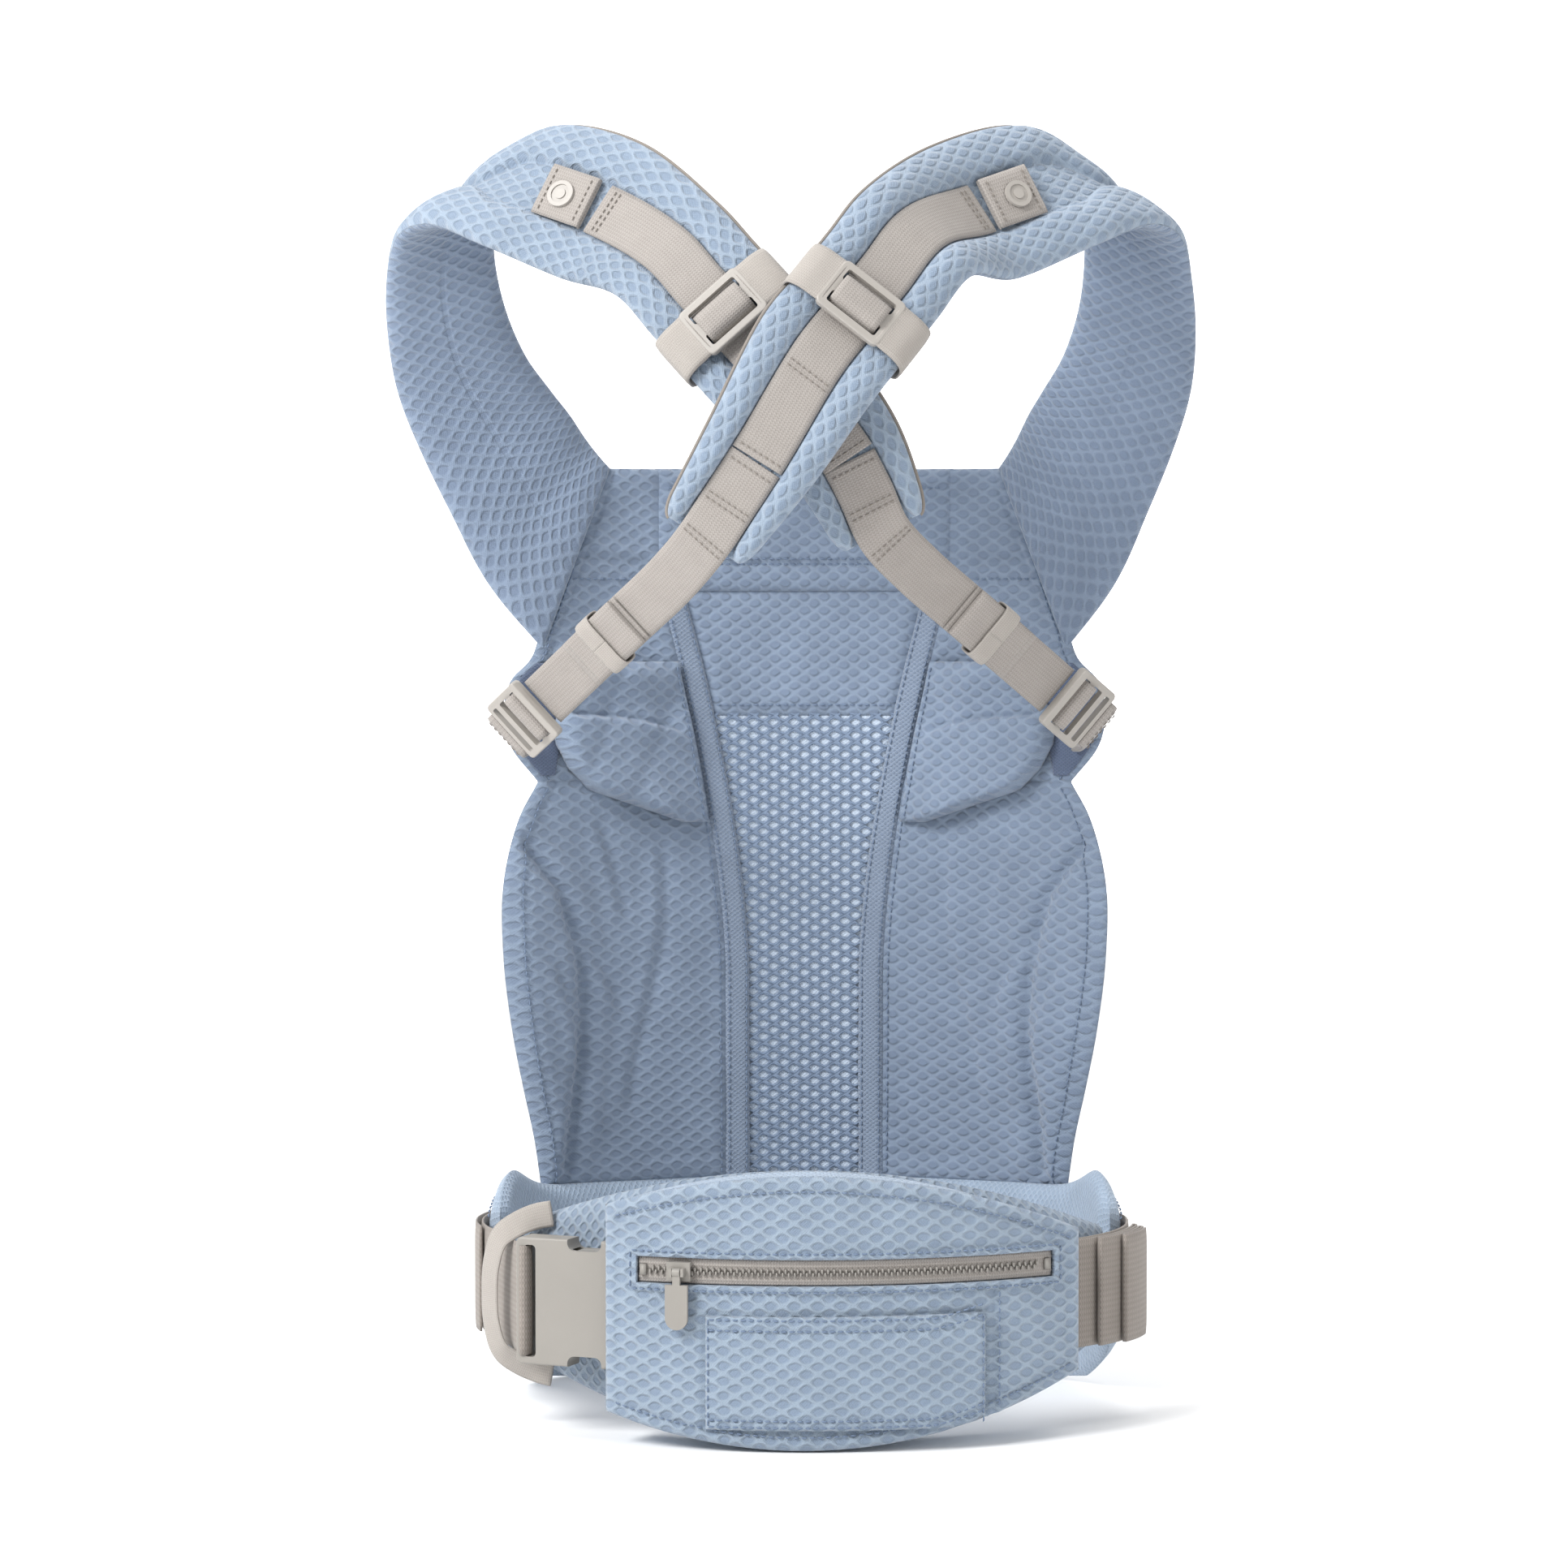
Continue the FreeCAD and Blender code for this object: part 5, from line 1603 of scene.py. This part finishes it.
    def bindings(self, side: Side) -> None:
        """Folded tape over the window's edge, with a stitch line each side."""
        tag, s = side.label, side.value
        z, t = np.meshgrid(
            np.linspace(self.bottom - 3, self.neck_top + 1, 130), np.linspace(0, 1, 13), indexing="ij"
        )
        x = self.seam(z) + self.binding * t
        crown = np.sqrt(1 - np.abs(2 * t - 1) ** 4) * 2.6 + 0.5
        crown = crown + 0.35 * Noise(41 + s)(z / 16, t)
        _, face = self.piece(
            f"binding_{tag}_tape", s * x, z, -crown, 0.5 * crown + 0.4, self.finish.binding, [
                f"binding_{tag}"
            ], slot="binding"
        )
        places = [np.s_[::3, 2], np.s_[::3, 10]]
        self.stitched(f"binding_{tag}_stitches", face, s * x, z, places, "binding")

    def sides(self, side: Side) -> None:
        """Side panel from the binding to the edge, with creases and a seat-adjusting slot."""
        tag, s = side.label, side.value
        z, t = np.meshgrid(np.linspace(self.bottom - 3, 298.5, 100), np.linspace(0, 1, 52), indexing="ij")
        inner = self.seam(z) + self.binding - 2.0
        outer = self.outer(z, self.side_edge)
        x = inner + (outer - inner) * t
        edge = np.minimum.reduce([x - inner, outer - x, z - self.bottom + 3, 298.5 - z])
        crown = 2.2 * pillow(edge, 6) + 0.15
        creases = np.zeros_like(x)
        # each crease: where it starts and ends (x, z), its half width and its depth
        marks = (
            (118, 232, 92, 178, 2.6, 1.2),
            (128, 214, 112, 150, 2.0, 0.9),
            (70, 270, 84, 128, 2.8, 0.9),
            (104, 284, 92, 222, 2.4, 0.8),
        )
        for x0, z0, x1, z1, width, deep in marks:
            course = np.array([x1 - x0, z1 - z0], float)
            span = np.hypot(*course)
            course /= span
            along = (x - x0) * course[0] + (z - z0) * course[1]
            away = (x - x0) * -course[1] + (z - z0) * course[0] + 4 * np.sin(along / 28)
            ends = smooth(0, 14, along) * smooth(0, 14, span - along)
            creases += deep * ends * 1.5 * (bell(away, width) - 0.7 * bell(away - 2.4 * width, width * 1.3))
        crease = np.interp(z, [98, 123, 171, 203, 243, 267, 298], [118, 116, 110, 111, 120, 137, 150])
        beyond = x - crease
        roll = 4.6 * smooth(0, 8, beyond) - 2.6 * bell(beyond, 2.2) + 1.4 * bell(beyond + 8, 5)
        slot = 1.6 * bell(z - 111, 1.0) * smooth(38, 44, x) * smooth(86, 80, x)
        waves = 1.6 * Noise(51 + s)(x / 34 + 3, z / 44) + 0.7 * Noise(53 + s)(x / 15, z / 19)
        waves = waves + roll - slot
        hem = 0.8 * bell(outer - x - 8, 1.1) + 0.6 * bell(x - inner - 3.2, 0.9)
        relief = (waves - creases) * smooth(0, 10, edge) - hem
        near = np.maximum(crown + relief, -0.9)
        _, face = self.piece(
            f"side_panel_{tag}_cover", s * x, z, -near - 0.2, crown, self.finish.inner, [f"side_panel_{tag}"]
        )
        places = [np.s_[1:-1:2, -4], np.s_[1:-1:2, 2]]
        self.stitched(f"side_panel_{tag}_stitches", face, s * x, z, places)

    def wings(self, side: Side) -> None:
        """Upper side panel with its wing, a navy sheet of painted shade round the lock, and the dart below
        the shoulder seam.
        """
        tag, s = side.label, side.value
        z, t = np.meshgrid(np.linspace(295.5, 450.6, 78), np.linspace(0, 1, 50), indexing="ij")
        inner = self.seam(np.minimum(z, self.neck_top)) + self.binding - 2.0
        outer = self.outer(z, self.wing_edge) + 3.0 * smooth(352, 372, z)
        x = inner + (outer - inner) * t
        edge = np.minimum.reduce([x - inner, outer - x, z - 295.5, 451 - z])
        crown = 2.2 * pillow(edge, 6) + 0.15
        waves = 1.2 * Noise(61 + s)(x / 30 + 5, z / 32) + 0.5 * Noise(63 + s)(x / 13, z / 16)
        fold = 1.5 * bell(z - 404 - 0.12 * (x - 80), 1.6) - 0.8 * bell(z - 409 - 0.12 * (x - 80), 2.2)
        dart = 1.4 * bell((x - 110) + 0.55 * (z - 414), 1.6) * smooth(400, 406, z) * smooth(432, 424, z)
        hem = 0.8 * bell(outer - x - 7, 1.1)
        relief = (waves - fold * smooth(60, 74, x)) * smooth(0, 10, edge) - hem - dart
        near = np.maximum(crown + relief, -0.9)
        _, face = self.piece(
            f"upper_panel_{tag}_cover", s * x, z, -near - 0.2, crown, self.finish.inner, [
                f"upper_panel_{tag}"
            ]
        )
        places = [np.s_[1:-1, -4], np.s_[50, 14:-4]]
        self.stitched(f"upper_panel_{tag}_stitches", face, s * x, z, places)
        # A navy sheet on the wing round the lock, standing for no part: painted shade on the wing's
        # underside.
        z, t = np.meshgrid(np.linspace(300, 355, 40), np.linspace(0, 1, 14), indexing="ij")
        x = 124 - 6 * bell(z - 328, 20) + (
            self.outer(z, self.wing_edge) - 2.6 - 124 + 6 * bell(z - 328, 20)
        ) * t
        face, back = self.at(
            s * x, z, -2.7 - 0.7 * np.sqrt(np.sin(np.pi * t) + 0.01)
        ), self.at(s * x, z, -2.3 + 0 * z)
        shade_sheet = self.shop.shell(f"wing_lining_{tag}", face, back, np.stack([z, x], axis=-1))
        self.shop.dress(shade_sheet, self.finish.navy, "air_mesh")

    def flap(self, side: Side) -> None:
        """Pleated flap over the wing's root, from three folds with a lit lower edge."""
        tag, s = side.label, side.value
        v, t = np.meshgrid(np.linspace(0, 1, 70), np.linspace(0, 1, 56), indexing="ij")
        inner = self.seam(282 + 73 * v) + self.binding + 0.5
        outer = np.interp(v, [0, 0.12, 0.3, 0.45, 0.62, 0.84, 1], [108, 118, 124, 125, 122, 114, 104])
        x = inner + (outer - inner) * t
        low = 276 + 0.36 * np.maximum(0, x - 62)
        z = low + (355.5 - low) * v
        side_edge = np.minimum(x - inner + 3, outer - x)
        crown = pillow(side_edge, 8) * pillow(z - low, 4.5) * pillow(356 - z, 9)
        fold = z - 319 - 0.22 * (x - 62) + 2.5 * np.sin(x / 17)
        lip = smooth(56, 76, x) * smooth(0, 6, outer - x)
        tucked = (
            4.6 * smooth(-1.5, 1.0, fold) * (1 - smooth(6, 26, fold)) + 1.2 * bell(fold - 0.4, 1.3)
        ) * lip
        dent = 2.2 * bell(x - inner - 12 - 0.35 * (z - 282), 9) * smooth(286, 300, z) * smooth(330, 312, z)
        pull = 1.1 * bell(x - 84 + 0.5 * (z - 300), 5) + 0.9 * bell(x - 112 + 0.35 * (z - 300), 4)
        near = 5.6 + 8.6 * crown * smooth(-4, 26, x - inner) + 1.2 * crown
        near = near - (tucked + dent + pull) * crown + 0.7 * Noise(71 + s)(x / 15, z / 14) * crown
        _, face = self.piece(
            f"side_flap_{tag}_cover", s * x, z, -near, -4.2 + 0 * near, self.finish.inner, [
                f"side_flap_{tag}"
            ]
        )
        self.stitched(f"side_flap_{tag}_stitches", face, s * x, z, [np.s_[2:-2, 2]])

    def neck(self) -> None:
        """Neck panel above the mesh window."""
        z, t = np.meshgrid(
            np.linspace(self.mesh_top - 0.5, self.neck_top + 1.5, 36), np.linspace(-1, 1, 60), indexing="ij"
        )
        x = (self.seam(np.minimum(z, self.neck_top)) + 2.0) * t
        edge = np.minimum.reduce([self.seam(z) - np.abs(x), z - self.mesh_top, self.neck_top - z])
        crown = 2.5 * pillow(edge, 7) + 0.2
        waves = 0.9 * Noise(81)(x / 26, z / 22) * smooth(0, 9, edge) - 0.6 * bell(z - self.mesh_top - 4, 1.0)
        _, face = self.piece(
            "neck_panel_cover", x, z, -crown - waves, crown, self.finish.inner, ["neck_panel"]
        )
        self.stitched("neck_panel_stitches", face, x, z, [np.s_[3, 2:-2]])

    def head(self) -> None:
        """Head support: padded, with a stitched band along its lower edge and a folded top hem."""
        z, t = np.meshgrid(
            np.linspace(self.neck_top + 0.3, self.top - 0.2, 46), np.linspace(-1, 1, 92), indexing="ij"
        )
        half = self.seam(self.neck_top) + 14.2
        x = half * t
        edge = np.minimum.reduce([half - np.abs(x), z - self.neck_top, self.top - z])
        crown = 4.4 * pillow(edge, 9) + 0.3
        band = 1.5 * bell(z - 404, 1.3) + 0.9 * bell(z - self.top + 9, 1.1)
        gathers = 0.5 * np.sin(x / 3.1 + 0.8 * np.sin(x / 9)) * bell(z - 404, 8)
        waves = 1.0 * Noise(91)(x / 30, z / 24)
        near = crown + (waves + gathers) * smooth(0, 10, edge) - band
        _, face = self.piece(
            "head_support_cover", x, z, -near, crown * 0.9, self.finish.inner, ["head_support"]
        )
        self.stitched("head_support_stitches", face, x, z, [np.s_[row, 3:-3] for row in (10, 12, 38)])

    def build(self) -> None:
        """Builds every piece of the panel."""
        self.window()
        self.neck()
        self.head()
        for side in Side:
            self.bindings(side)
            self.sides(side)
            self.wings(side)
            self.flap(side)


# ---------------------------------------------------------------- hardware and stage


@dataclass
class Hardware:
    """The moulded pieces that keep their CAD shape."""

    finish: Finishes

    def dress(self) -> None:
        """Gives each moulded piece its plastic."""
        dull = ["buckle_socket", "buckle_plug", "prong_upper", "prong_lower", "zip_slider", "zip_pull"]
        pale = [
            f"{kind}_{side.label}"
            for kind in ("rail_slider", "ladder_lock", "snap_cap", "snap_stud")
            for side in Side
        ]
        for names, material in ((dull, self.finish.plastic), (pale, self.finish.pale_plastic)):
            for name in names:
                obj = bpy.data.objects[name]
                if not obj.material_slots:
                    obj.data.materials.append(material)
                for slot in obj.material_slots:
                    slot.link, slot.material = "OBJECT", material
                log.info("dressed %s", name)


@dataclass
class Studio:
    """White floor, even soft light, and the camera."""

    datum: Datum
    lens: float = 100.0
    place: tuple = (-10.0, -2065.0, 370.0)
    target: tuple = (-10.0, 0.0, 298.0)
    room_glow: float = 0.5
    lamps: tuple = (
        ("key_lamp", (-1350, -1150, 1500), (0, 0, 280), 0.9, 52),
        ("fill_lamp", (1300, -1100, 900), (0, 0, 280), 1.4, 7),
        ("back_lamp", (200, 300, 2200), (0, 0, 300), 1.6, 22),
    )

    def floor(self) -> None:
        """A plain white floor, and a glowing white backdrop well behind it."""
        wide, near, far, high, level = 6000.0, -4000.0, 4000.0, 4000.0, 4.4
        floor = [(-wide, near, level), (wide, near, level), (wide, far, level), (-wide, far, level)]
        wall = [(-wide, far, -200), (wide, far, -200), (wide, far, high), (-wide, far, high)]
        for name, corners, glow in (("studio_floor", floor, 0.0), ("studio_backdrop", wall, 1.1)):
            mesh = bpy.data.meshes.new(name)
            mesh.from_pydata([tuple(p) for p in self.datum.place(np.array(corners))], [], [(0, 1, 2, 3)])
            obj = bpy.data.objects.new(name, mesh)
            bpy.context.scene.collection.objects.link(obj)
            material, _, shader = blank(f"{name}_white_card")
            shader.inputs["Base Color"].default_value = (0.95, 0.95, 0.95, 1)
            shader.inputs["Roughness"].default_value = 0.9
            shader.inputs["Emission Color"].default_value = (1, 1, 1, 1)
            shader.inputs["Emission Strength"].default_value = glow
            mesh.materials.append(material)

    def light(self, name: str, at: tuple, aim: tuple, size: float, power: float) -> None:
        """Adds one soft square lamp.

        Args:
            name: The lamp's name.
            at: Where it hangs, in the carrier's millimetres.
            aim: What it faces, in the same millimetres.
            size: Its side, in metres.
            power: Watts.
        """
        lamp = bpy.data.lights.new(name, "AREA")
        lamp.shape, lamp.size, lamp.energy = "SQUARE", size, power
        obj = bpy.data.objects.new(name, lamp)
        bpy.context.scene.collection.objects.link(obj)
        obj.location = self.datum.place(np.array([at]))[0]
        toward = mathutils.Vector(self.datum.place(np.array([aim]))[0]) - obj.location
        obj.rotation_euler = toward.to_track_quat("-Z", "Y").to_euler()

    def build(self) -> None:
        """Sets up the floor, lamps, world and camera."""
        self.floor()
        for lamp in self.lamps:
            self.light(*lamp)
        world = bpy.data.worlds.new("white_room")
        world.use_nodes = True
        world.node_tree.nodes["Background"].inputs["Color"].default_value = (1, 1, 1, 1)
        world.node_tree.nodes["Background"].inputs["Strength"].default_value = self.room_glow
        bpy.context.scene.world = world
        lens = bpy.data.cameras.new("camera")
        lens.lens, lens.sensor_width, lens.sensor_fit = self.lens, 36.0, "HORIZONTAL"
        lens.clip_end = 50
        camera = bpy.data.objects.new("camera", lens)
        bpy.context.scene.collection.objects.link(camera)
        camera.location = self.datum.place(np.array([self.place]))[0]
        toward = mathutils.Vector(self.datum.place(np.array([self.target]))[0]) - camera.location
        camera.rotation_euler = toward.to_track_quat("-Z", "Y").to_euler()
        bpy.context.scene.camera = camera
        bpy.context.scene.view_settings.view_transform = "Standard"


def main() -> None:
    """Builds the carrier's pieces in order, then the studio."""
    datum = Datum.from_frame()
    shop, finish = Workshop(datum), Finishes()
    waist = Waist(shop, finish)
    for step in (waist.belt, waist.lumbar, waist.pouch, waist.zip, waist.webbing, waist.elastic):
        step()
        log.info("waist: %s", step.__name__)
    Panel(shop, finish).build()
    log.info("panel")
    locks = {side: LadderLock(shop, finish, side) for side in Side}
    for side in Side:
        strap = Strap(shop, finish, side)
        for step in (strap.pad, strap.rail, strap.slider):
            step()
            log.info("%s strap: %s", side.label, step.__name__)
        strap.adjuster(locks[side.other])
        locks[side.other].tab()
        log.info("%s adjuster", side.label)
    Hardware(finish).dress()
    Studio(datum).build()


if __name__ == "__main__":
    main()
